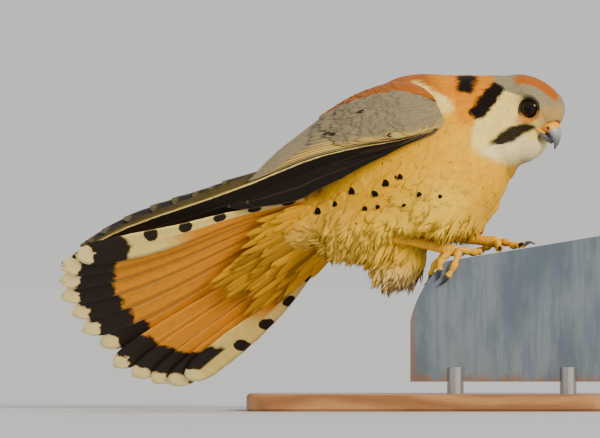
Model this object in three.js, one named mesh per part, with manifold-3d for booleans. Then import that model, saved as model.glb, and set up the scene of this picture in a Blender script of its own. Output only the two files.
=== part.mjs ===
// A life-size male American kestrel, leaning forward on the corner of a folded sheet-metal panel,
// with its wings drooped and its tail fanned below and behind it. A plain wooden base and two short
// rods carry the panel. Millimetres, +Z up. The origin is the middle of the base's underside, +X is
// the way the bird's body faces apart from its yaw, and -Y is towards the bird's right side.

import * as THREE from "three";
import { mergeVertices } from "three/addons/utils/BufferGeometryUtils.js";
import Module from "manifold-3d";

const wasm = await Module();
wasm.setup();

const { degToRad, lerp, clamp, smoothstep } = THREE.MathUtils;

// Driving sizes
const GAP = 0.3; // kept between nodes that meet
const BIRD_YAW = degToRad(11); // the head end is turned this far towards -Y
const BIRD_PIVOT = [-14.4, 0, 0];
const VANE_THICKNESS = 0.55;
const LAYER = 0.92; // from one vane to the next that it lies over
const BODY_PITCH = degToRad(34.4);
const HEAD = { at: [54.1, -16, 145.2], yaw: degToRad(38), pitch: degToRad(40) };
const EYE = { radius: 4.6, reach: 12, opening: 4, lidOut: 2.9, recess: 6.8, recessOut: 9.2 };
const FAN = {
  centre: [-19.7, -3, 112.1], // where the feathers' lines would meet
  start: 42,
  radius: 169.5,
  outerShare: 0.925, // the outermost feather's length against the middle one's
  spread: degToRad(21.8), // from the middle to each side
  halfWidth: 8.4,
  cut: 41, // where the tail meets the rump
};
const BASE = { length: 176, width: 96, height: 8, corner: 12, bevel: 1.2 };
const PANEL = {
  left: -9.6,
  right: 85,
  bottom: 14,
  front: -22,
  depth: 40,
  sheet: 3,
  slope: 0.165, // rise of the top edge
  corner: 17, // how far along the top edge the worn corner reaches
  drop: 27, // and how far down the upright edge
};
const PANEL_TOP_AT_ORIGIN = 70.3; // height of the top edge where x is 0
const ROD = { radius: 4, places: [12, 66], slotDepth: 7, sides: 20 };

// Body from the tail's root to the neck: distance along the back, then reach up, down and to each side
const BODY_START = [-40.1, 82.8];
const BODY = [
  [-13, 5, 6, 6],
  [-8, 10, 12, 10.5],
  [0, 15.5, 16.5, 14.5],
  [10, 23, 22.5, 18.5],
  [19.2, 30.2, 28.4, 22.5],
  [29, 37, 31, 26],
  [38.4, 41.4, 33.5, 28.5],
  [48, 43.4, 36, 30.4],
  [57.6, 43.6, 37.8, 31.2],
  [67, 42.4, 39, 31],
  [76.8, 40.2, 39.2, 29.4],
  [87, 35.6, 35.6, 26],
  [96, 30, 29.6, 21.5],
  [104, 25, 25, 17.5],
  [111, 19.7, 20, 14.5],
  [116, 16.5, 16, 13],
  [121, 12, 12, 11],
];
const BELLY = { at: [-2, 0, 75.5], size: [16.5, 15, 16] };
const FOOT_STRIDE = 14; // the left foot stands this far ahead of the right
const THIGH = { at: [19, 17.5, 96.5], size: [22, 10.5, 13], droop: degToRad(20) };
const TARSUS = { thick: 2.35, ankle: [-6.4, 17, 85] };

// Head in its own frame (forward, left, up from midway between the eyes): forward, crown, chin, half width
const SKULL = [
  [-25, 0.5, -6, 4.5],
  [-22.5, 3.2, -11, 9.5],
  [-18, 6.2, -14.5, 13],
  [-12, 8.3, -16.5, 15],
  [-5, 9.5, -16.8, 15.2],
  [0, 9.6, -16, 14],
  [4, 8.3, -13.6, 12],
  [7, 6.2, -10.8, 9.8],
  [9.2, 4.2, -7.2, 7.6],
  [10.8, 2.4, -4, 5],
  [11.6, 1.2, -2.2, 2.6],
];
const THROAT = { at: [-4, 0, -17.5], size: [16.5, 15.5, 17] };
const BILL = { centre: [9.2, -10.2], radius: 9.9, start: degToRad(112), end: degToRad(-6), base: 5.3 };

// Wing, on the bird's right: the leading edge from wrist to tip, and the edge that lies along the back
const WING_EDGE = [
  [26.5, -27.5, 139],
  [24.6, -30.9, 136.1],
  [7.1, -36.3, 130.3],
  [-12, -39, 127],
  [-31.3, -40.2, 122.6],
  [-41.1, -40.1, 119.3],
  [-65.8, -38.7, 109.4],
  [-90.9, -35.5, 100.8],
  [-116.1, -31.7, 92.6],
  [-131.2, -29.6, 87],
  [-145.9, -29.4, 79.6],
  [-159.9, -30, 71],
];
const WING_BACK = [
  [19.5, -22.5, 149],
  [16.9, -22.2, 151.4],
  [4.2, -20, 153.2],
  [-15.7, -18.6, 148],
  [-34.4, -18.4, 140.6],
  [-49.7, -20.9, 128.9],
  [-58.8, -25.2, 121.2],
  [-67, -33, 113.5],
];
const WING_SPAN = 196; // length of the leading edge
const ARM_SPAN = 97; // how far along the leading edge the upper surface reaches
const PRIMARY_TIPS = [122, 129, 137, 147, 158, 171, 183, 192, 196, 189]; // inner to outer, from the wrist
const LEFT_WING_LIFT = degToRad(2.8);

const point = (x, y, z) => new THREE.Vector3(x, y, z);
const toPoint = ([x, y, z]) => point(x, y, z);
const smooth = (points) => new THREE.CatmullRomCurve3(points, false, "centripetal");

// Turns a closed three.js geometry into a solid that faces out
function solid(geometry) {
  const bare = geometry.index ? geometry.toNonIndexed() : geometry.clone();
  bare.deleteAttribute("normal");
  bare.deleteAttribute("uv");
  const merged = mergeVertices(bare, 1e-4);
  const build = (triVerts) =>
    new wasm.Manifold(
      new wasm.Mesh({ numProp: 3, vertProperties: merged.attributes.position.array, triVerts }),
    );
  const made = build(new Uint32Array(merged.index.array));
  if (made.volume() > 0) return made;
  const turned = new Uint32Array(merged.index.array);
  for (let i = 0; i < turned.length; i += 3) {
    [turned[i + 1], turned[i + 2]] = [turned[i + 2], turned[i + 1]];
  }
  return build(turned);
}

const join = (solids) => solids.reduce((sum, next) => sum.add(next));

// The largest closed surface of a solid
function largest(made) {
  return made.decompose().sort((a, b) => b.volume() - a.volume())[0];
}

function surface(points, index) {
  const position = points.flatMap((p) => p.toArray());
  return new THREE.BufferGeometry()
    .setAttribute("position", new THREE.Float32BufferAttribute(position, 3))
    .setIndex(index);
}

// A closed skin over rings of points, each ring with the same number of points
function loft(rings) {
  const count = rings[0].length;
  const middle = (ring) =>
    ring.reduce((sum, p) => sum.add(p), new THREE.Vector3()).divideScalar(count);
  const last = (rings.length - 1) * count;
  const position = [...rings.flat(), middle(rings[0]), middle(rings[rings.length - 1])];
  const index = [];
  for (let k = 0; k < count; k++) {
    const next = (k + 1) % count;
    index.push(last + count, next, k, last + count + 1, last + k, last + next);
    for (let a = 0; a < last; a += count) {
      const b = a + count;
      index.push(a + k, a + next, b + k, a + next, b + next, b + k);
    }
  }
  return surface(position, index);
}

// A ring of points round a centre, reaching up, down and to each side by its own amounts
function ring(centre, upward, sideways, up, down, wide, sides, squareness = 2) {
  const power = 2 / squareness;
  const shaped = (v) => Math.sign(v) * Math.abs(v) ** power;
  return Array.from({ length: sides }, (_, k) => {
    const turn = (2 * Math.PI * (k + 0.5)) / sides;
    const rise = shaped(Math.cos(turn));
    return centre
      .clone()
      .addScaledVector(upward, rise * (rise > 0 ? up : down))
      .addScaledVector(sideways, shaped(Math.sin(turn)) * wide);
  });
}

// A round bar along points, whose radius follows its length
function bar(points, radiusAt, steps = 6, sides = 8) {
  const line = smooth(points);
  const frames = line.computeFrenetFrames(steps, false);
  const rings = Array.from({ length: steps + 1 }, (_, i) => {
    const radius = radiusAt(i / steps);
    const centre = line.getPointAt(i / steps);
    return ring(centre, frames.normals[i], frames.binormals[i], radius, radius, radius, sides);
  });
  return solid(loft(rings));
}

function ellipsoid(size, across = 18, down = 12) {
  return new THREE.SphereGeometry(1, across, down).scale(...size);
}

// A thin feather between shares 0 and 1 of its length. place(along, sideways) gives a point of it and
// the way its upper face looks there, and half(along) its half width. Both faces are split alike.
function vane(place, half, stations) {
  const position = [];
  const index = [];
  stations.forEach((along) => {
    const reach = half(along);
    const ends = [place(along, -reach), place(along, reach)];
    const out = ends.map(({ up }) => up.clone().multiplyScalar(VANE_THICKNESS / 2));
    position.push(ends[0].at.clone().add(out[0]), ends[1].at.clone().add(out[1]));
    position.push(ends[0].at.clone().sub(out[0]), ends[1].at.clone().sub(out[1]));
  });
  const quad = (a, b, c, d) => index.push(a, b, c, a, c, d);
  for (let s = 0; s < (stations.length - 1) * 4; s += 4) {
    quad(s, s + 1, s + 5, s + 4);
    quad(s + 7, s + 3, s + 2, s + 6);
    quad(s, s + 4, s + 6, s + 2);
    quad(s + 1, s + 3, s + 7, s + 5);
  }
  quad(0, 2, 3, 1);
  const end = (stations.length - 1) * 4;
  quad(end, end + 1, end + 3, end + 2);
  return solid(surface(position, index));
}

// Half width of a feather: slim at the quill, full by a share of its length, round at the tip
function featherHalf(full, quill, fullBy, tipFrom) {
  return (along) => {
    const rise = lerp(quill, 1, smoothstep(along, 0, fullBy));
    const end = clamp((along - tipFrom) / (1 - tipFrom), 0, 1);
    return full * rise * Math.sqrt(1 - 0.94 * end * end);
  };
}

const STATIONS = [0, 0.4, 0.8, 1];
const LONG_STATIONS = [0, 0.22, 0.5, 0.78, 0.93, 1];

// Frames
const birdFrame = new THREE.Matrix4()
  .makeTranslation(...BIRD_PIVOT)
  .multiply(new THREE.Matrix4().makeRotationZ(-BIRD_YAW));
const inBird = (f, l, u) => point(f, l, u).applyMatrix4(birdFrame);
const birdSide = point(0, 1, 0).transformDirection(birdFrame);
const headFrame = new THREE.Matrix4()
  .makeTranslation(...HEAD.at)
  .multiply(new THREE.Matrix4().makeRotationZ(-HEAD.yaw))
  .multiply(new THREE.Matrix4().makeRotationY(HEAD.pitch));
const inHead = (f, l, u) => point(f, l, u).applyMatrix4(headFrame);
const headWay = (f, l, u) => point(f, l, u).transformDirection(headFrame);

// Body
const bodyAlong = point(Math.cos(BODY_PITCH), 0, Math.sin(BODY_PITCH)).transformDirection(birdFrame);
const bodyUp = point(-Math.sin(BODY_PITCH), 0, Math.cos(BODY_PITCH)).transformDirection(birdFrame);
const bodyPlace = (along) =>
  inBird(BODY_START[0], 0, BODY_START[1]).addScaledVector(bodyAlong, along);

function bodySkin(grow = 0) {
  const rings = BODY.map(([along, up, down, wide]) =>
    ring(bodyPlace(along), bodyUp, birdSide, up + grow, down + grow, wide + grow, 24, 2.2),
  );
  const belly = ellipsoid(BELLY.size.map((v) => v + grow))
    .translate(...BELLY.at)
    .applyMatrix4(birdFrame);
  return solid(loft(rings)).add(solid(belly));
}

function headSkin(grow = 0) {
  const rings = SKULL.map(([forward, crown, chin, wide]) => {
    const middle = (crown + chin) / 2;
    const tall = (crown - chin) / 2 + grow;
    const centre = inHead(forward, 0, middle);
    return ring(centre, headWay(0, 0, 1), headWay(0, 1, 0), tall, tall, wide + grow, 20, 2.25);
  });
  const throat = ellipsoid(THROAT.size.map((v) => v + grow), 18, 12)
    .translate(...THROAT.at)
    .applyMatrix4(headFrame);
  return solid(loft(rings)).add(solid(throat));
}

// All that lies on the side of a plane that its normal points to
function halfSpace(at, normal) {
  const reach = 500;
  const box = new THREE.BoxGeometry(reach, reach, reach).translate(0, 0, reach / 2);
  const turn = new THREE.Quaternion().setFromUnitVectors(point(0, 0, 1), normal);
  return solid(box.applyQuaternion(turn).translate(at.x, at.y, at.z));
}

// Cuts a solid between two planes, each the given distance along the way, and half a gap short of both
function between(made, way, from, to) {
  let kept = made;
  if (from) kept = kept.intersect(halfSpace(from.clone().addScaledVector(way, GAP / 2), way));
  if (to) {
    kept = kept.intersect(halfSpace(to.clone().addScaledVector(way, -GAP / 2), way.clone().negate()));
  }
  return kept;
}

// Face
const eyeAt = (side) => inHead(0, side * (EYE.reach - EYE.radius), 0);
const eyeLook = (side) => headWay(0.16, side, 0.02);
const ball = (at, radius, across = 20, down = 14) =>
  solid(new THREE.SphereGeometry(radius, across, down).translate(at.x, at.y, at.z));

function lid(side) {
  const ringShape = new THREE.TorusGeometry(EYE.opening + 0.5, 0.8, 5, 15);
  const turn = new THREE.Quaternion().setFromUnitVectors(point(0, 0, 1), eyeLook(side));
  const at = eyeAt(side).addScaledVector(eyeLook(side), EYE.lidOut);
  return solid(ringShape.applyQuaternion(turn).translate(at.x, at.y, at.z));
}

function billUpper(grow = 0) {
  const steps = 8;
  const rings = Array.from({ length: steps + 1 }, (_, i) => {
    const share = i / steps;
    const turn = lerp(BILL.start, BILL.end, share);
    const deep = lerp(7.2, 0.5, share ** 1.35) / 2 + grow;
    const wide = BILL.base * (1 - share) ** 0.75 + 0.25 + grow;
    const out = headWay(Math.cos(turn), 0, Math.sin(turn));
    const radius = BILL.radius + grow - deep;
    const at = inHead(
      BILL.centre[0] + Math.cos(turn) * radius,
      0,
      BILL.centre[1] + Math.sin(turn) * radius,
    );
    return ring(at, out, headWay(0, 1, 0), deep, deep, wide, 12, 2.1);
  });
  return solid(loft(rings));
}

function billLower(grow = 0) {
  const stations = [
    [3, -9.8, 2.3, 5],
    [7, -10.5, 2.2, 4.3],
    [10.6, -11.2, 1.9, 3.4],
    [13.4, -11.6, 1.3, 2.3],
    [15.2, -11.6, 0.6, 1.2],
  ];
  const rings = stations.map(([forward, up, tall, wide]) => {
    const at = inHead(forward, 0, up);
    return ring(at, headWay(0, 0, 1), headWay(0, 1, 0), tall + grow, tall + grow, wide + grow, 12);
  });
  return solid(loft(rings));
}

// The line of the mouth, from the gape forward
function mouthLine() {
  const slit = new THREE.BoxGeometry(9, 24, 0.5).translate(8.5, 0, -7.4).applyMatrix4(headFrame);
  return solid(slit);
}

function nostril(side) {
  return ball(inHead(12.2, side * 4.1, -3.6), 0.85, 8, 6);
}

// Wing surfaces, worked out for the right wing in the bird's frame
const edgeCurve = smooth(WING_EDGE.map(toPoint));
const backCurve = smooth(WING_BACK.map(toPoint));
const edgeAt = (mm) => edgeCurve.getPointAt(clamp(mm / WING_SPAN, 0, 1));
const edgeWay = (mm) => edgeCurve.getTangentAt(clamp(mm / WING_SPAN, 0, 1));
const backAt = (mm) => backCurve.getPointAt(clamp(mm / ARM_SPAN, 0, 1));

// The upper surface: mm along the leading edge, then a share across it towards the back
function upperSurface(mm, across, lift = 0) {
  const edge = edgeAt(mm);
  const chord = backAt(mm).sub(edge);
  const out = edgeWay(mm).clone().cross(chord).normalize().negate();
  if (out.y > 0) out.negate();
  const crown = 0.14 * chord.length() * 4 * across * (1 - across);
  const at = edge.addScaledVector(chord, across).addScaledVector(out, crown + lift);
  return { at, up: out };
}

// The flight feathers' own surface, which runs inward and down from the leading edge
function lowerSurface(mm, inward, lift = 0) {
  const droop = lerp(degToRad(40), degToRad(28), clamp(mm / 110, 0, 1));
  const way = edgeWay(mm);
  const chord = point(0, Math.cos(droop), -Math.sin(droop));
  const up = way.clone().cross(chord).normalize();
  if (up.z < 0) up.negate();
  return { at: edgeAt(mm).addScaledVector(chord, inward).addScaledVector(up, lift), up };
}

function wingCore() {
  const stations = [1, 6, 14, 24, 36, 48, 60, 70];
  const rings = stations.map((mm) => {
    const depth = lerp(11, 2, smoothstep(mm, 8, 70)) * smoothstep(mm, -8, 8);
    const outer = [0, 0.2, 0.4, 0.6, 0.8, 0.97].map((c) => upperSurface(mm, c, -0.5).at);
    const inner = [0.97, 0.75, 0.5, 0.25, 0.05].map((c) => upperSurface(mm, c, -0.9 - depth).at);
    return [...outer, ...inner];
  });
  return solid(loft(rings));
}

function hand() {
  const places = [2, 14, 28, 42].map((mm) => lowerSurface(mm, 5, 1.6).at);
  return bar(places, (share) => lerp(3.8, 2.4, share), 5, 8);
}

// One tier of overlapping feathers on the upper surface, each lying over the one below it
function upperTier({ count, root, tips, from, to, half, lift, stations = STATIONS }) {
  return Array.from({ length: count }, (_, j) => {
    const share = (j + 0.5) / count;
    const tip = tips(share);
    const spacing = (to - from) / count;
    const middle = lerp(from, to, share);
    const place = (along, side) => {
      const mm = lerp(root, tip, along);
      const out = side * half;
      return upperSurface(mm, clamp(middle + out * spacing, -0.04, 1.08), lift(along) - LAYER * out);
    };
    return vane(place, featherHalf(1, 0.5, 0.35, 0.62), stations);
  });
}

function primaries() {
  return PRIMARY_TIPS.map((tip, i) => {
    const order = 9 - i; // 0 is the outermost
    const root = 8 + order * 2.6;
    const place = (along, side) => {
      const mm = lerp(root, tip, along);
      const shift = order * 1.6 * smoothstep(mm, 0, 40);
      const pull = lerp(5.2, 3.2, smoothstep(along, 0.5, 1));
      return lowerSurface(mm, shift + pull + side, order * 0.84 - 0.6);
    };
    return vane(place, featherHalf(6.2, 0.3, 0.3, 0.72), LONG_STATIONS);
  });
}

// Stiff narrow coverts along the leading edge
function edgeTier({ count, root, step, tips, lift }) {
  const spacing = 1.7;
  return Array.from({ length: count }, (_, i) => {
    const tip = lerp(tips[0], tips[1], i / (count - 1));
    const place = (along, side) => {
      const mm = lerp(root + i * step, tip, along);
      const chord = backAt(mm).distanceTo(edgeAt(mm));
      return upperSurface(mm, (i * spacing + 0.6 + side) / chord, lift(along) - LAYER * (side / spacing));
    };
    return vane(place, featherHalf(1.6, 0.6, 0.3, 0.6), STATIONS);
  });
}

function wing(side, obstacles) {
  const secondaries = upperTier({
    count: 9,
    root: 34,
    tips: (share) => lerp(99, 72, share ** 1.4),
    from: 0.02,
    to: 0.98,
    half: 0.9,
    lift: (along) => lerp(-1.6, 0.5, smoothstep(along, 0, 0.3)),
    stations: LONG_STATIONS,
  });
  const greater = upperTier({
    count: 7,
    root: 22,
    tips: (share) => lerp(62, 56, share),
    from: 0.16,
    to: 0.98,
    half: 0.85,
    lift: (along) => lerp(-1.5, 2.4, smoothstep(along, 0, 0.45)),
  });
  const median = upperTier({
    count: 6,
    root: 12,
    tips: (share) => lerp(42, 38, share),
    from: 0.16,
    to: 0.97,
    half: 0.85,
    lift: (along) => lerp(-1.5, 4.2, smoothstep(along, 0, 0.6)),
  });
  const primaryCoverts = edgeTier({
    count: 4,
    root: 14,
    step: 2,
    tips: [76, 62],
    lift: (along) => lerp(-1.2, 2.2, smoothstep(along, 0, 0.3)),
  });
  const tiers = [...primaries(), ...secondaries, ...greater, ...median, ...primaryCoverts];
  let made = largest(join([wingCore(), hand(), ...tiers]));
  if (side > 0) {
    made = turned(made, mirrorLeft);
  }
  made = turned(made, birdFrame);
  obstacles.forEach((obstacle) => {
    made = made.subtract(obstacle);
  });
  return largest(made);
}

// The left wing is the right one's mirror image, tipped up a little at its end
const mirrorLeft = new THREE.Matrix4()
  .makeTranslation(20, 0, 130)
  .multiply(new THREE.Matrix4().makeRotationY(LEFT_WING_LIFT))
  .multiply(new THREE.Matrix4().makeTranslation(-20, 0, -130))
  .multiply(new THREE.Matrix4().makeScale(1, -1, 1));

// A solid moved by a matrix
function turned(made, matrix) {
  return solid(geometryOf(made).applyMatrix4(matrix));
}

// Turns a solid back into a three.js geometry
function geometryOf(made) {
  const mesh = made.getMesh();
  const position = new Float32Array(mesh.numVert * 3);
  for (let i = 0; i < mesh.numVert; i++) {
    position.set(mesh.vertProperties.subarray(i * mesh.numProp, i * mesh.numProp + 3), i * 3);
  }
  return new THREE.BufferGeometry()
    .setAttribute("position", new THREE.BufferAttribute(position, 3))
    .setIndex(new THREE.BufferAttribute(mesh.triVerts, 1));
}

// Tail: the fan lies in a plane of its own, given by two ways in it
const tailEast = point(-0.966, 0, -0.259);
const tailSouth = point(0.186, 0.694, -0.695);
const tailDown = tailEast.clone().cross(tailSouth).normalize();
const TAIL_MIDDLE = degToRad(19.2);
const tailWay = (turn) =>
  tailEast.clone().multiplyScalar(Math.cos(turn)).addScaledVector(tailSouth, Math.sin(turn));

// Feathers of the fan, counted outward from the middle on each side, seen from below
const fanTurn = (place) => TAIL_MIDDLE - FAN.spread * (1.25 * place - 0.25 * place ** 3);

// A point of the fan: distance from its centre, sideways from the line at the given turn, and below it
function fanPoint(turn, distance, sideways, below) {
  const way = tailWay(turn);
  const across = tailDown.clone().cross(way);
  const sag = 3 * Math.sin(Math.PI * clamp((distance - FAN.start) / (FAN.radius - FAN.start), 0, 1));
  const at = toPoint(FAN.centre)
    .addScaledVector(way, distance)
    .addScaledVector(across, sideways)
    .addScaledVector(tailDown, below + sag);
  return { at, up: tailDown.clone().negate() };
}

function rectrix(side, order) {
  const share = (order - 0.5) / 5.5;
  const tip = FAN.radius * lerp(1, FAN.outerShare, share ** 3);
  const layer = order === 1 && side > 0 ? 1 : order === 1 ? 0 : order;
  const place = (along, sideways) =>
    fanPoint(fanTurn(side * share), lerp(FAN.start, tip, along), sideways, (layer - 2.5) * LAYER);
  return vane(place, featherHalf(FAN.halfWidth, 0.22, 0.8, 0.92), LONG_STATIONS);
}

// Coverts over the roots of the fan, on its upper and lower faces
function tailCoverts(lower) {
  const count = 7;
  return Array.from({ length: count }, (_, i) => {
    const place = (2 * (i + 0.5)) / count - 1;
    const turn = TAIL_MIDDLE - FAN.spread * 0.92 * place;
    const tip = lower ? lerp(108, 90, place ** 2) : lerp(92, 80, place ** 2);
    const layer = (i % 2) * LAYER;
    const clear = lower ? 4.7 * LAYER + layer : -3.9 * LAYER - layer;
    const start = lower ? 7 : -5;
    const at = (along, sideways) =>
      fanPoint(turn, lerp(52, tip, along), sideways, lerp(start, clear, smoothstep(along, 0, 0.6)));
    return vane(at, featherHalf(6.2, 0.7, 0.3, 0.45), STATIONS);
  });
}

function tailSkin(grow = 0) {
  const up = tailDown.clone().negate();
  const across = tailWay(TAIL_MIDDLE - Math.PI / 2);
  const stations = [
    [18, 14, 17, 14],
    [32, 12.5, 15.5, 16],
    [44, 9.5, 13.5, 18],
    [56, 6, 11, 19.5],
    [66, 3, 9, 20],
    [74, 1, 7.4, 17],
  ];
  const rings = stations.map(([distance, above, below, wide]) => {
    const at = toPoint(FAN.centre).addScaledVector(tailWay(TAIL_MIDDLE), distance);
    return ring(at, up, across, above + grow, below + grow, wide + grow, 18, 2.2);
  });
  return solid(loft(rings));
}

function tail(cut) {
  const feathers = [...tailCoverts(true), ...tailCoverts(false)];
  for (let order = 1; order <= 6; order++) {
    feathers.push(rectrix(1, order), rectrix(-1, order));
  }
  return largest(between(join([tailSkin(), ...feathers]), tailWay(TAIL_MIDDLE), cut, null));
}

const panelTop = (x) => PANEL_TOP_AT_ORIGIN + PANEL.slope * x;

// Legs
const legPlace = (side, [f, l, u]) => inBird(f + (side > 0 ? FOOT_STRIDE : 0), side * l, u);

function thigh(side, grow = 0) {
  const shape = ellipsoid(THIGH.size.map((v) => v + grow), 12, 9)
    .applyMatrix4(new THREE.Matrix4().makeRotationY(-THIGH.droop))
    .translate(THIGH.at[0] + (side > 0 ? FOOT_STRIDE * 0.6 : 0), side * THIGH.at[1], THIGH.at[2])
    .applyMatrix4(birdFrame);
  const ankle = legPlace(side, TARSUS.ankle);
  const knee = legPlace(side, [THIGH.at[0], THIGH.at[1] * 0.95, THIGH.at[2] - 1]);
  const middle = knee.clone().lerp(ankle, 0.55);
  const sheath = bar([knee, middle, ankle], (share) => lerp(11, 4.4, share ** 0.8) + grow, 4, 10);
  return solid(shape).add(sheath);
}

// Feet: where the toes meet, then the middle of each toe from there to its end. Heights are above the
// panel's top edge, and the toes that curl over its face lie in front of it.
const over = (x, y, height) => point(x, y, panelTop(x) + height);
const FEET = {
  right: {
    joint: over(11, -17.5, 4.6),
    toes: [
      [over(16, -16, 4), over(21, -9, 2.1), over(24, -2, 1.9)],
      [over(13.2, -21.6, 3.4), over(11.8, -24.1, -1.6), over(10, -24, -5), over(8.2, -23.9, -7.4)],
      [over(6.8, -20.8, 2.6), over(4.6, -24.1, -0.6), over(4.4, -24, -3.6)],
      [over(5.2, -15.6, 2), over(1.6, -15.6, -1.6), over(0.2, -16.4, -5.4)],
    ],
  },
  left: {
    joint: over(31.6, 5.5, 5.4),
    toes: [
      [over(32.5, -0.5, 4.6), over(33, -6.5, 2.1), over(33.4, -12, 1.9)],
      [over(36, 2.6, 4.6), over(40, -2.4, 2.3), over(43, -7.4, 1.9)],
      [over(36.6, 8, 4.2), over(41.4, 9.4, 2.1), over(45.6, 9.8, 1.9)],
      [over(27, 7.4, 3.6), over(23, 9.4, 2.1), over(19.5, 11.4, 1.9)],
    ],
  },
};
const TOE = { thick: 1.75, end: 1.35 };

function toe({ joint, toes }, index, grow = 0) {
  const thick = (share) => lerp(TOE.thick, TOE.end, share) + 0.28 * Math.cos(share * 6 * Math.PI) + grow;
  return bar([joint, ...toes[index]], thick, 6, 6);
}

function foot(which, grow = 0) {
  return join([ball(which.joint, 3 + grow, 10, 6), ...which.toes.map((_, i) => toe(which, i, grow))]);
}

// A claw curls down from the end of its toe
function claw({ joint, toes }, index) {
  const path = [joint, ...toes[index]];
  const end = path[path.length - 1];
  const way = end.clone().sub(path[path.length - 2]).normalize();
  const overTop = Math.abs(way.z) < 0.6;
  const bend = overTop ? point(0, 0, -0.22) : point(-0.5, 0, 0);
  const middle = end.clone().addScaledVector(way, 2.8).add(overTop ? point(0, 0, 0.7) : point(0, 0, 0));
  const tip = end.clone().addScaledVector(way, 5.2).addScaledVector(bend, 3);
  return bar([end, middle, tip], (share) => lerp(1.15, 0.25, share), 4, 6);
}

function tarsus(side, which, grow = 0) {
  const ankle = legPlace(side, TARSUS.ankle);
  const radius = (share) => TARSUS.thick * (1 + 0.22 * (2 * share - 1) ** 4) + grow;
  return bar([ankle, ankle.clone().lerp(which.joint, 0.5), which.joint], radius, 4, 8);
}

// The panel that the bird stands on: a sheet folded over at the top, with a worn round corner
function panelOutline() {
  const shape = new THREE.Shape();
  const { left, corner, drop } = PANEL;
  shape.moveTo(PANEL.left, PANEL.bottom);
  shape.lineTo(PANEL.right, PANEL.bottom);
  shape.lineTo(PANEL.right, panelTop(PANEL.right));
  shape.lineTo(left + corner, panelTop(left + corner));
  shape.quadraticCurveTo(left + corner / 4, panelTop(left) - drop / 3.4, left, PANEL_TOP_AT_ORIGIN - drop);
  return shape;
}

function panel(grow = 0) {
  const upright = (shape, from, deep) =>
    solid(
      new THREE.ExtrudeGeometry(shape, { depth: deep, bevelEnabled: false, curveSegments: 8 })
        .rotateX(Math.PI / 2)
        .translate(0, from + deep, 0),
    );
  const face = upright(panelOutline(), PANEL.front - grow, PANEL.sheet + 2 * grow);
  const strip = new THREE.Shape();
  const from = PANEL.left + PANEL.corner;
  strip.moveTo(from - grow, panelTop(from) - PANEL.sheet - grow);
  strip.lineTo(PANEL.right + grow, panelTop(PANEL.right) - PANEL.sheet - grow);
  strip.lineTo(PANEL.right + grow, panelTop(PANEL.right) + grow);
  strip.lineTo(from - grow, panelTop(from) + grow);
  return face.add(upright(strip, PANEL.front - grow, PANEL.depth + 2 * grow));
}

// Stand
function standBase() {
  const { length, width, height, corner, bevel } = BASE;
  const half = [length / 2 - bevel, width / 2 - bevel];
  const shape = new THREE.Shape();
  const r = corner - bevel;
  const corners = [
    [half[0] - r, half[1] - r, 0],
    [-half[0] + r, half[1] - r, 1],
    [-half[0] + r, -half[1] + r, 2],
    [half[0] - r, -half[1] + r, 3],
  ];
  corners.forEach(([x, y, quarter], i) => {
    const start = (quarter * Math.PI) / 2;
    if (i === 0) shape.moveTo(x + r, y);
    shape.absarc(x, y, r, start, start + Math.PI / 2, false);
  });
  return new THREE.ExtrudeGeometry(shape, {
    depth: height - 2 * bevel,
    bevelThickness: bevel,
    bevelSize: bevel,
    bevelSegments: 1,
    curveSegments: 4,
  }).translate(0, 0, bevel);
}

function standRod(x) {
  const foot = BASE.height + GAP;
  const top = PANEL.bottom + ROD.slotDepth;
  const { radius, sides } = ROD;
  const rod = new THREE.CylinderGeometry(radius, radius, top - foot, sides).rotateX(Math.PI / 2);
  const y = PANEL.front + PANEL.sheet / 2;
  rod.translate(x, y, (top + foot) / 2);
  const slot = new THREE.BoxGeometry(20, PANEL.sheet + 2 * GAP, 40).translate(x, y, PANEL.bottom - GAP + 20);
  return geometryOf(solid(rod).subtract(solid(slot)));
}

// Assembly
const kestrel = new THREE.Group();

function put(name, geometry, color, roughness, metalness = 0) {
  const shape = geometry.isBufferGeometry ? geometry : geometryOf(geometry);
  const mesh = new THREE.Mesh(shape, new THREE.MeshStandardMaterial({ color, roughness, metalness }));
  mesh.name = name;
  kestrel.add(mesh);
}

const grown = (make) => make(GAP);
const rumpCut = bodyPlace(14);
const neckCut = bodyPlace(88);
const headCut = point(33.6, -10, 137.5);
const headNormal = point(0.95, -0.2, 0.24).normalize();
const tailNormal = tailWay(TAIL_MIDDLE);
const tailCut = toPoint(FAN.centre).addScaledVector(tailNormal, FAN.cut);
const panelNear = grown(panel);

const flesh = bodySkin().add(headSkin()).add(tailSkin());
const fleshNear = join([bodySkin, headSkin, tailSkin].map(grown));
const trunk = between(between(flesh, headNormal, null, headCut), tailNormal, null, tailCut);
const thighsNear = [-1, 1].map((side) => thigh(side, GAP));
const torso = between(trunk, bodyAlong, rumpCut, neckCut)
  .subtract(panelNear)
  .subtract(join(thighsNear))
  .subtract(tarsus(-1, FEET.right, GAP))
  .subtract(tarsus(1, FEET.left, GAP));

let head = between(flesh, headNormal, headCut, null);
[-1, 1].forEach((side) => {
  const recess = eyeAt(side).addScaledVector(eyeLook(side), EYE.recessOut);
  const socket = ball(eyeAt(side), EYE.radius + GAP, 16, 12);
  head = head.subtract(ball(recess, EYE.recess, 14, 9)).add(lid(side)).subtract(socket);
});
head = head.subtract(mouthLine()).subtract(billUpper(GAP)).subtract(billLower(GAP));
const upperBill = billUpper().subtract(nostril(1)).subtract(nostril(-1));

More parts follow.
